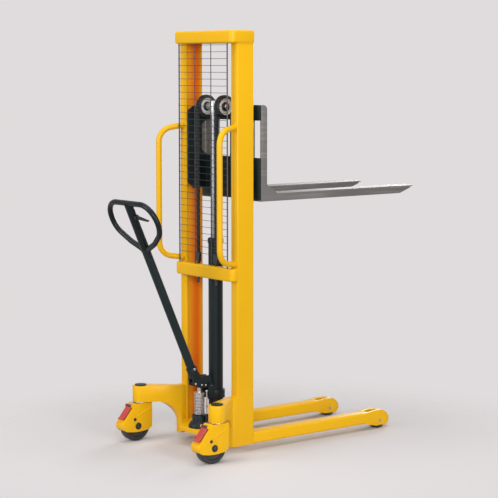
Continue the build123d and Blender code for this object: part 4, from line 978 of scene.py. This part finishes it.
def tube_along(name, points, radius, sides, swell=None):
    """A mesh tube round a line of points, whose radius may swell from point to point."""
    line = bpy.data.curves.new(name, "CURVE")
    line.dimensions = "3D"
    line.bevel_depth = radius
    line.bevel_resolution = sides // 2 - 2      # each step adds two sides to the first four
    line.use_fill_caps = True
    spline = line.splines.new("POLY")
    spline.points.add(len(points) - 1)
    for number, (knot, point) in enumerate(zip(spline.points, points)):
        knot.co = (*point, 1)
        knot.radius = swell[number % len(swell)] if swell else 1.0
    tube = bpy.data.objects.new(name, line)
    bpy.context.collection.objects.link(tube)
    only(tube)
    bpy.ops.object.convert(target="MESH")
    bpy.ops.object.shade_smooth_by_angle(angle=TUBE_SMOOTH)
    return bpy.context.object


print("tubes can be drawn")

# %% Wind the spring
SPRING_TURNS = 14
POINTS_PER_TURN = 24
SPRING_WIRE = 0.0025
SPRING_SIDES = 8
COIL_RADIUS = 0.023
CLOSED_RISE = 2.04 * SPRING_WIRE
SEAT_GAP = 0.0003       # from the solid's ends to the seats

low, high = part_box("pump_spring")
seat_low = low.z - SEAT_GAP
seat_high = high.z + SEAT_GAP
spring_x = middle_of("pump_plunger").x
open_rise = (seat_high - seat_low - 2 * SPRING_WIRE - 2 * CLOSED_RISE) / (SPRING_TURNS - 2)


def spring_height(turn):
    """Height of the wire's middle after so many turns, with one closed turn at each end."""
    closed = min(turn, 1) + max(turn - SPRING_TURNS + 1, 0)
    return seat_low + SPRING_WIRE + closed * CLOSED_RISE + (turn - closed) * open_rise


coil = []
for step in range(SPRING_TURNS * POINTS_PER_TURN + 1):
    angle = 2 * math.pi * step / POINTS_PER_TURN
    coil.append((
        spring_x + COIL_RADIUS * math.cos(angle),
        COIL_RADIUS * math.sin(angle),
        spring_height(step / POINTS_PER_TURN),
    ))
spring = tube_along("spring", coil, SPRING_WIRE, SPRING_SIDES)
dress(spring, "return_spring", "frame", "spring_zinc", stands_for=["pump_spring"])
stroke = next(joint["range_m"][1] for joint in frame["joints"] if joint["name"] == "pump_stroke")
1 - stroke / (seat_high - seat_low)
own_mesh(spring)
print("spring of", SPRING_TURNS, "turns,", round(1000 * open_rise, 2), "mm apart")

# %% [markdown]
# ## Leaf chains
# A leaf chain is a stack of flat plates on pins, with no rollers. Each link has plates in the even places
# or in the odd ones, so neighbours interleave. A plate is a circle whose upper half is moved up by one
# pitch and then extruded to its thickness. Four of them make a link, two links and their pins make the part
# that repeats, and an array runs it from the anchors to the pulleys.

# %% Stamp one link
PLATES = 8
PLATE_STEP = 0.00245
PLATE_THICK = 0.0022
PLATE_HALF = 0.0048
PLATE_SIDES = 8
PIN_RADIUS = 0.0024
PIN_SIDES = 8
PIN_PROUD = 0.0002


def plate_row(place, pitch, first):
    """Every second plate of one link, standing on its lower pin."""
    x, y, z = place
    foot = (x, y + (first - (PLATES - 1) / 2) * PLATE_STEP - PLATE_THICK / 2, z)
    plate = disc(foot, PLATE_HALF, PLATE_SIDES, rotation=(math.radians(90), 0, 0))
    bpy.ops.object.mode_set(mode="EDIT")
    bpy.ops.transform.rotate(value=math.pi / PLATE_SIDES, orient_axis="Y", center_override=foot)
    bpy.ops.mesh.select_all(action="DESELECT")
    bpy.ops.object.mode_set(mode="OBJECT")
    for vertex in plate.data.vertices:
        vertex.select = vertex.co.z > z
    bpy.ops.object.mode_set(mode="EDIT")
    bpy.ops.transform.translate(value=(0, 0, pitch))
    bpy.ops.mesh.select_all(action="SELECT")
    draw_out((0, PLATE_THICK, 0))
    close_up()
    repeat(plate, PLATES // 2, (0, 2 * PLATE_STEP, 0))
    return plate


def link_pin(place):
    """The pin through a chain, a little longer than its plates are wide."""
    x, y, z = place
    half = PLATES * PLATE_STEP / 2 + PIN_PROUD
    return rod((x, y - half, z), (x, y + half, z), PIN_RADIUS, PIN_SIDES)


print("a link has", PLATES // 2, "plates")

# %% Hang the straight chains
LINK_PAIR = 0.032               # about two pitches, which are fitted to each run
MAST_BLEND = (0.86, 1.72)       # two heights for each run
CARRIAGE_BLEND = (1.41, 1.65)

sheave_centre = middle_of("left_sheave")


def straight_chain(x, bottom, top):
    """Two chains side by side, of whole link pairs from bottom to top."""
    pairs = round((top - bottom) / LINK_PAIR)
    pitch = (top - bottom) / (2 * pairs)
    pieces = []
    for link in (0, 1):
        place = (x, -sheave_centre.y, bottom + link * pitch)
        pieces += [plate_row(place, pitch, link), link_pin(place)]
    chain = joined(*pieces)
    repeat(chain, pairs, (0, 0, 2 * pitch))
    repeat(chain, 2, (0, 2 * sheave_centre.y, 0))
    return chain


for run, body, (still_z, moved_z) in (
    ("mast", "frame", MAST_BLEND),
    ("carriage", "carriage", CARRIAGE_BLEND),
):
    node = f"chain_{run}_runs"
    run_x = middle_of(node).x
    chain = straight_chain(run_x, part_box(node)[0].z, sheave_centre.z)
    dress(chain, f"{run}_chains", None, "chain_steel", stands_for=[node])
    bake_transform(chain)
    print(chain.name, len(chain.data.polygons), "faces")

# %% [markdown]
# Over the pulleys the chain is a polygon of straight links. One link is stood at the pulley's back, tipped
# by half of its share of the turn, and then copied round the axle.

# %% Bend the chain over the pulleys
WRAP_LINKS = 10
WRAP_SHARE = 180 / WRAP_LINKS       # degrees


def turned_copy(piece, degrees, centre):
    """A copy of a piece with a mesh of its own, turned about the axle."""
    twin = piece.copy()
    twin.data = piece.data.copy()
    bpy.context.collection.objects.link(twin)
    there = Matrix.Translation(Vector(centre))
    twin.data.transform(there @ Matrix.Rotation(math.radians(degrees), 4, "Y") @ there.inverted())
    return twin


mast_run_x = middle_of("chain_mast_runs").x
wrap_radius = sheave_centre.x - mast_run_x
chord = 2 * wrap_radius * math.sin(math.radians(WRAP_SHARE / 2))
foot_pin = (mast_run_x, -sheave_centre.y, sheave_centre.z)
first_links = []
for first in (0, 1):
    link = joined(plate_row(foot_pin, chord, first), link_pin(foot_pin))
    first_links.append(turned_copy(link, WRAP_SHARE / 2, foot_pin))
    bpy.data.objects.remove(link)
wrap = joined(*[
    turned_copy(first_links[number % 2], WRAP_SHARE * number, sheave_centre) for number in range(WRAP_LINKS)
])
for link in first_links:
    bpy.data.objects.remove(link)
repeat(wrap, 2, (0, 2 * sheave_centre.y, 0))
dress(wrap, "pulley_chains", "ram", "chain_steel", stands_for=["chain_wraps"])
print("chain over the pulleys has", WRAP_LINKS, "links of", round(1000 * chord, 2), "mm")

# %% [markdown]
# ## Wheels and rollers
# Wheels come out of round moulds. A circle is extruded along its axle from step to step of a half profile,
# and resized at each step, then the same steps are walked back for the other face. A castor wheel has a
# raised hub with a bearing in it, a dished web and a tread with rounded shoulders. A load roller is a thick
# drum with a step at its bearing.

# %% Turn a piece from a circle
def turned(place, axis, profile, sides):
    """A round piece whose profile is a list of radius and distance along its axis."""
    radius, along = profile[0]
    piece = disc((0, 0, along), radius, sides)
    bpy.ops.object.mode_set(mode="EDIT")
    for next_radius, next_along in profile[1:]:
        grow = next_radius / radius
        draw_out((0, 0, next_along - along))
        bpy.ops.transform.resize(value=(grow, grow, 1), center_override=(0, 0, next_along))
        radius, along = next_radius, next_along
    close_up()
    piece.rotation_euler = Vector(axis).to_track_quat("Z", "Y").to_euler()
    piece.location = place
    only(piece)
    bpy.ops.object.transform_apply(location=True, rotation=True, scale=True)
    bpy.ops.object.shade_smooth_by_angle(angle=SMOOTH_ANGLE)
    return piece


def both_faces(half):
    """A whole profile from the half that runs from one face to the middle."""
    return half + [(radius, -along) for radius, along in reversed(half)]


print("round pieces can be turned")

# %% Mould the wheels
CASTOR_HALF = [
    (0.009, -0.026), (0.0185, -0.026), (0.019, -0.0255), (0.0193, -0.025), (0.0205, -0.025),
    (0.0217, -0.0245), (0.022, -0.0235), (0.022, -0.0168), (0.0245, -0.0152), (0.051, -0.0152),
    (0.0542, -0.0166), (0.056, -0.020), (0.0578, -0.0225), (0.069, -0.023), (0.0726, -0.0216),
    (0.0746, -0.018), (0.075, -0.012),
]
ROLLER_HALF = [
    (0.0095, -0.026), (0.016, -0.026), (0.0168, -0.0255), (0.0175, -0.0242), (0.0325, -0.0242),
    (0.0338, -0.0255), (0.035, -0.026), (0.0375, -0.026), (0.0393, -0.0248), (0.040, -0.0225),
]
CASTOR_SIDES = 72
CASTOR_SEAL = 0.0188
ROLLER_SIDES = 56
ROLLER_SEAL = 0.0165

for kind, half, sides, seal in (
    ("castor_wheel", CASTOR_HALF, CASTOR_SIDES, CASTOR_SEAL),
    ("load_roller", ROLLER_HALF, ROLLER_SIDES, ROLLER_SEAL),
):
    for side in ("left", "right"):
        node = f"{side}_{kind}"
        middle = middle_of(node)
        wheel = turned(middle, (0, 1, 0), both_faces(half), sides)
        dress(wheel, f"{node}_turned", node, "wheel_nylon", "bright_steel", stands_for=[node])
        repaint(wheel, near_axle, wheel, middle, seal, "bright_steel")
        print(wheel.name, len(wheel.data.polygons), "faces")

# %% [markdown]
# ## Bolts and pin ends
# Dark bolts hold the castors together, and the ends of the tiller's pins are bright where they rub. A
# bolt's head is turned with six sides and stands on a washer.

# %% Turn the bolts
WASHER_TOP = 0.0016
WASHER_SIDES = 28
HEAD_SIDES = 6
AXLE_EDGE = 0.0009
AXLE_CAP = [(0.0175, -0.0004), (0.0175, 0.0008), (0.0168, 0.0013)]
AXLE_CAP_SIDES = 32
AXLE_HEIGHT = 0.075
CASTOR_TRAIL = 0.036                # from the kingpin back to the axle
CASTOR_BOLT = (0.0062, 0.0045)      # radius and height of its head
CASTOR_BOLT_BACK = 0.056            # from the kingpin
CASTOR_BOLT_HEIGHT = 0.110


def bolt(place, axis, radius, height):
    """A hexagon head on its washer."""
    washer = [(1.3 * radius, -0.0005), (1.3 * radius, 0.0011), (1.22 * radius, WASHER_TOP)]
    head = [(0.96 * radius, 0), (radius, 0.0004), (radius, 0.75 * height), (0.84 * radius, height)]
    seat = Vector(place) + WASHER_TOP * Vector(axis)
    return [turned(place, axis, washer, WASHER_SIDES), turned(seat, axis, head, HEAD_SIDES)]


for side in ("left", "right"):
    low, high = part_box(f"{side}_castor_housing")
    kingpin = kingpin_of(side)
    soften(f"{side}_castor_axle", AXLE_EDGE, "chain_steel", "chain_steel")
    pieces = []
    for face_y, out in ((low.y, -1), (high.y, 1)):
        bolt_place = (kingpin.x - CASTOR_BOLT_BACK, face_y, CASTOR_BOLT_HEIGHT)
        pieces += bolt(bolt_place, (0, out, 0), *CASTOR_BOLT)
        axle_place = (kingpin.x - CASTOR_TRAIL, face_y, AXLE_HEIGHT)
        pieces.append(turned(axle_place, (0, out, 0), AXLE_CAP, AXLE_CAP_SIDES))
    bolts = dress(joined(*pieces), f"{side}_castor_bolts", f"{side}_castor", "chain_steel")
    print(bolts.name, len(bolts.data.polygons), "faces")

# %% Polish the tiller's pin ends
mast_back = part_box("left_column")[0].x
roller_centre = middle_of("pump_roller")
# For each pin: how far forward it is, half its length, its height and its radius
ROLLER_PIN = (roller_centre.x, 0.023, roller_centre.z, 0.0050)
STOP_PIN = (mast_back - 0.096, 0.024, 0.314, 0.0060)
CHEEK_RIVET = (mast_back - 0.033, 0.021, 0.301, 0.0056)
PIN_END_SIDES = 24
SOCKET_BOLT = (0.0055, 0.0040)      # radius and height of its head
SOCKET_BOLT_PLACE = (mast_back - 0.104, 0.0250, 0.387)

pieces = []
for x, half, z, radius in (ROLLER_PIN, STOP_PIN, CHEEK_RIVET):
    for out in (1, -1):
        rounded = [(radius, -0.0006), (radius, 0.0006), (0.8 * radius, 0.0013), (0.45 * radius, 0.0016)]
        pieces.append(turned((x, out * half, z), (0, out, 0), rounded, PIN_END_SIDES))
for out in (1, -1):
    x, half, z = SOCKET_BOLT_PLACE
    pieces += bolt((x, out * half, z), (0, out, 0), *SOCKET_BOLT)
ends = dress(joined(*pieces), "tiller_pin_ends", "tiller", "bright_steel")
print(ends.name, len(ends.data.polygons), "faces")

# %% [markdown]
# ## Welds
# The truck is welded by hand, and every seam carries a bead with a ripple for each drop of the rod. A bead
# is a tube along its seam, half sunk in both plates, whose radius swells and falls from point to point. All
# the beads of one body are joined into one piece.

# %% Lay beads along seams
RIPPLE = 0.0024
RIPPLES = (1.0, 1.12, 1.02, 0.88)
BEAD_SIDES = 6


def seam(*corners):
    """Points every few millimetres along the straight stretches between corners."""
    points = []
    for start, end in zip(corners, corners[1:]):
        run = Vector(end) - Vector(start)
        count = max(1, round(run.length / RIPPLE))
        points += [Vector(start) + run * step / count for step in range(count)]
    return points + [Vector(corners[-1])]


def ring(centre, axis, radius):
    """Points round a circle, which end where they start after whole rounds of ripples."""
    turn = Vector(axis).to_track_quat("Z", "Y")
    count = len(RIPPLES) * round(2 * math.pi * radius / RIPPLE / len(RIPPLES))
    spokes = [2 * math.pi * step / count for step in range(count + 1)]
    return [Vector(centre) + turn @ Vector((radius * math.cos(a), radius * math.sin(a), 0)) for a in spokes]


def welded(name, body, finish, radius, routes):
    """One piece from the beads along all the routes."""
    beads = [tube_along("bead", route, radius, BEAD_SIDES, RIPPLES) for route in routes]
    weld = dress(joined(*beads), name, body, finish)
    print(name, len(routes), "beads,", len(weld.data.polygons), "faces")


print("beads follow seams and rings")

# %% Measure the frame's seams
SHORT_STOP = 0.005      # beads stop short of a column's corners
ROUND_STOP = 0.008      # and of a beam's round end
TIE_STOP = 0.003        # and of the middle beam's rims
ARM_STOP = 0.004        # and of an arm's corner
LEG_CORNER = 0.010      # and of a leg's outer corners
LEG_STOP = 0.012        # and of its inner ones
TUCK = 0.0018           # how deep a bead lies in a column's round corner
LEG_TUCK = 0.0012
CAP_LAP = 0.001         # how far a bead laps up the top beam
ARM_RUN = 0.030         # length of the bead on the base plate behind a column
LEG_TOP = 0.088
LEG_FOOT = 0.032
HANDLE_Y = 0.205
HANDLE_HEIGHTS = (1.548, 0.902)
HANDLE_RING = 0.0143
BEAD_PROUD = 0.0005

low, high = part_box("left_column")
back, front, tip, flank = low.x, high.x, low.y, high.y
cap_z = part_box("top_beam")[0].z
tie_low, tie_high = [corner.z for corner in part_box("middle_beam")]
arm_low, arm_high = [corner.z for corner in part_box("left_arm")]
arm_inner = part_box("left_arm")[0].y
leg_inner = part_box("left_leg")[0].y
plate_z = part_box("base_plate")[1].z
corner_x = back + TUCK
print("columns are", round(1000 * (front - back), 1), "mm deep where the legs meet them")

# %% Weld the frame
FRAME_BEAD = 0.0026

routes = []
for s in (1, -1):
    outer, inner, corner_y = s * flank, s * tip, s * (flank - TUCK)
    arm_y, leg_y, leg_outer = s * arm_inner, s * leg_inner, s * (flank - LEG_TUCK)
    routes += [
        seam((front - SHORT_STOP, outer, cap_z + CAP_LAP), (back + SHORT_STOP, outer, cap_z + CAP_LAP)),
        seam((back, s * (flank - SHORT_STOP), cap_z), (back, inner, cap_z)),
        seam((back, s * (flank - ROUND_STOP), tie_high), (back, inner, tie_high)),
        seam((back, s * (flank - ROUND_STOP), tie_low), (back, inner, tie_low)),
        seam((back, inner, tie_low + TIE_STOP), (back, inner, tie_high - TIE_STOP)),
        seam((corner_x, corner_y, tie_low + ROUND_STOP), (corner_x, corner_y, tie_high - ROUND_STOP)),
        seam((corner_x, corner_y, arm_low), (corner_x, corner_y, arm_high)),
        seam((back, s * (flank - ARM_STOP), arm_high), (back, arm_y, arm_high), (back, arm_y, plate_z)),
        seam((back - ARM_RUN, arm_y, plate_z), (back, arm_y, plate_z)),
        seam((back, inner, plate_z), (front, inner, plate_z)),
        seam((front, s * (flank - LEG_CORNER), LEG_TOP), (front, s * (leg_inner + LEG_STOP), LEG_TOP)),
        seam((front, leg_y, LEG_TOP - LEG_STOP), (front, leg_y, LEG_FOOT + LEG_STOP)),
        seam((front, leg_outer, LEG_TOP - LEG_CORNER), (front, leg_outer, LEG_FOOT + LEG_CORNER)),
    ]
    for z in HANDLE_HEIGHTS:
        routes.append(ring((back - BEAD_PROUD, s * HANDLE_Y, z), (1, 0, 0), HANDLE_RING))
welded("frame_welds", "frame", "yellow_paint", FRAME_BEAD, routes)

# %% Weld the carriage
LIGHT_BEAD = 0.0022
SIDE_PLATE = 0.008      # thickness of the carriage's side plates
FORK_STOP = 0.006

bar_low, bar_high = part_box("carriage_upper_bar")
plate_low, plate_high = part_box("carriage_lower_plate")
side_low, side_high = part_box("carriage_left_plate")
fork_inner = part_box("left_fork")[0].y
routes = []
for s in (1, -1):
    for y in (s * side_low.y, s * (side_low.y + SIDE_PLATE)):
        routes.append(seam((bar_low.x, y, bar_low.z), (bar_low.x, y, side_high.z)))
        routes.append(seam((bar_low.x, y, side_low.z), (bar_low.x, y, plate_high.z)))
    fork_y = s * fork_inner
    for bottom, top in ((bar_low.z, bar_high.z), (plate_low.z, plate_high.z)):
        routes.append(seam((bar_high.x, fork_y, bottom + FORK_STOP), (bar_high.x, fork_y, top - FORK_STOP)))
welded("carriage_welds", "carriage", "black_paint", LIGHT_BEAD, routes)

# %% Weld the tiller and the cylinder
STEM_LEAN = math.radians(23.85)     # back from upright
STEM_FOOT = Vector((mast_back - 0.090, 0, 0.354))
SOCKET_DEPTH = 0.040
SOCKET_RINGS = (0.0215, 0.0245)
CYLINDER_BEAD = 0.0030
CYLINDER_RINGS = (0.0355, 0.0380)

stem = Vector((-math.sin(STEM_LEAN), 0, math.cos(STEM_LEAN)))
socket_top = STEM_FOOT + SOCKET_DEPTH * stem
routes = [ring(socket_top, stem, radius) for radius in SOCKET_RINGS]
welded("tiller_welds", "tiller", "black_paint", LIGHT_BEAD, routes)
cylinder_foot = (middle_of("lift_cylinder").x, 0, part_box("lift_cylinder")[0].z + BEAD_PROUD)
routes = [ring(cylinder_foot, (0, 0, 1), radius) for radius in CYLINDER_RINGS]
welded("cylinder_welds", "frame", "black_paint", CYLINDER_BEAD, routes)

# %% [markdown]
# The grip's loop runs into its stem without a step, because the welds there are built up and ground smooth
# before the coating goes on. Each is a tube that follows the loop's end, turns down the stem and thins out.

# %% Blend the grip into its stem
BLEND_ROUTE = [     # distance from the stem's line, and height up the stem
    (0.062, 0.7064), (0.040, 0.6961), (0.024, 0.6845), (0.0185, 0.668), (0.0165, 0.648), (0.015, 0.628),
]
BLEND_RADIUS = 0.0131
BLEND_SIDES = 14
THINNING = (1.0, 1.0, 0.95, 0.75, 0.45, 0.20)

blends = []
for s in (1, -1):
    route = [STEM_FOOT + height * stem + Vector((0, s * half, 0)) for half, height in BLEND_ROUTE]
    blends.append(tube_along("blend", route, BLEND_RADIUS, BLEND_SIDES, THINNING))
blended = dress(joined(*blends), "grip_blends", "tiller", "grip_coating")
print(blended.name, len(blended.data.polygons), "faces")

# %% [markdown]
# ## Castor pressings and pedals
# A rib is pressed into each side of a castor's housing to stiffen it, and it wears the lighter enamel of the
# edges as a painted highlight along its crest. The brake pedals are moulded, so their edges are round, and
# ribs across them keep a wet boot from slipping. Where a pedal turns on its pin it is dark with grease.

# %% Press the castors' ribs
RIB_REAR = (-0.049, 0.123)      # from the kingpin, and height
RIB_FRONT = (0.032, 0.160)
RIB_RADIUS = 0.0034
RIB_SIDES = 8

for side in ("left", "right"):
    low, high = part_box(f"{side}_castor_housing")
    kingpin = kingpin_of(side)
    ribs = []
    for face_y in (low.y, high.y):
        route = seam(*[(kingpin.x + along, face_y, height) for along, height in (RIB_REAR, RIB_FRONT)])
        ribs.append(tube_along("rib", route, RIB_RADIUS, RIB_SIDES))
    pressed = joined(*ribs)
    # the lighter edge enamel on the ribs is a painted highlight along the pressing
    dress(pressed, f"{side}_castor_ribs", f"{side}_castor", "yellow_edge", slot="yellow_paint")
    print(pressed.name, len(pressed.data.polygons), "faces")

# %% Round the pedals
PEDAL_EDGE = 0.0016
PEDAL_BACK = 0.050              # from the kingpin to the top of the pedal's slope
PEDAL_SLOPE = Vector((-0.070, 0, -0.087))
PEDAL_THICK = 0.008
HINGE_DOWN = 0.020
HINGE_RADIUS = 0.0085
TREADS = 6
TREAD_FROM = 0.040
TREAD_STEP = 0.0085
TREAD_RADIUS = 0.0013
TREAD_SIDES = 6
TREAD_REACH = Vector((0, 0.019, 0))

down = PEDAL_SLOPE.normalized()
out = Vector((down.z, 0, -down.x))
for side in ("left", "right"):
    kingpin = kingpin_of(side)
    slope_top = Vector((kingpin.x - PEDAL_BACK, kingpin.y, HOUSING_TOP))
    pedal = soften(f"{side}_brake_pedal", PEDAL_EDGE, "pedal_red", "pedal_red", "pedal_hinge")
    hinge = slope_top + HINGE_DOWN * down + PEDAL_THICK * out
    repaint(pedal, near_axle, pedal, hinge, HINGE_RADIUS, "pedal_hinge")
    treads = []
    for number in range(TREADS):
        middle = slope_top + (TREAD_FROM + TREAD_STEP * number) * down + PEDAL_THICK * out
        route = seam(middle - TREAD_REACH, middle + TREAD_REACH)
        treads.append(tube_along("rib", route, TREAD_RADIUS, TREAD_SIDES))
    dress(joined(*treads), f"{side}_pedal_ribs", f"{side}_brake_pedal", "pedal_red")
    print(pedal.name, "with", TREADS, "ribs")

# %% [markdown]
# ## Size
# The dressed truck has to stay as large as the imported one. The two boxes are printed side by side, so that
# they can be compared.

# %% Write the sizes and finish
shown_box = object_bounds()
for title, (low, high) in (("cad", cad_box), ("shown", shown_box)):
    print(title, [round(side, 4) for side in high - low])
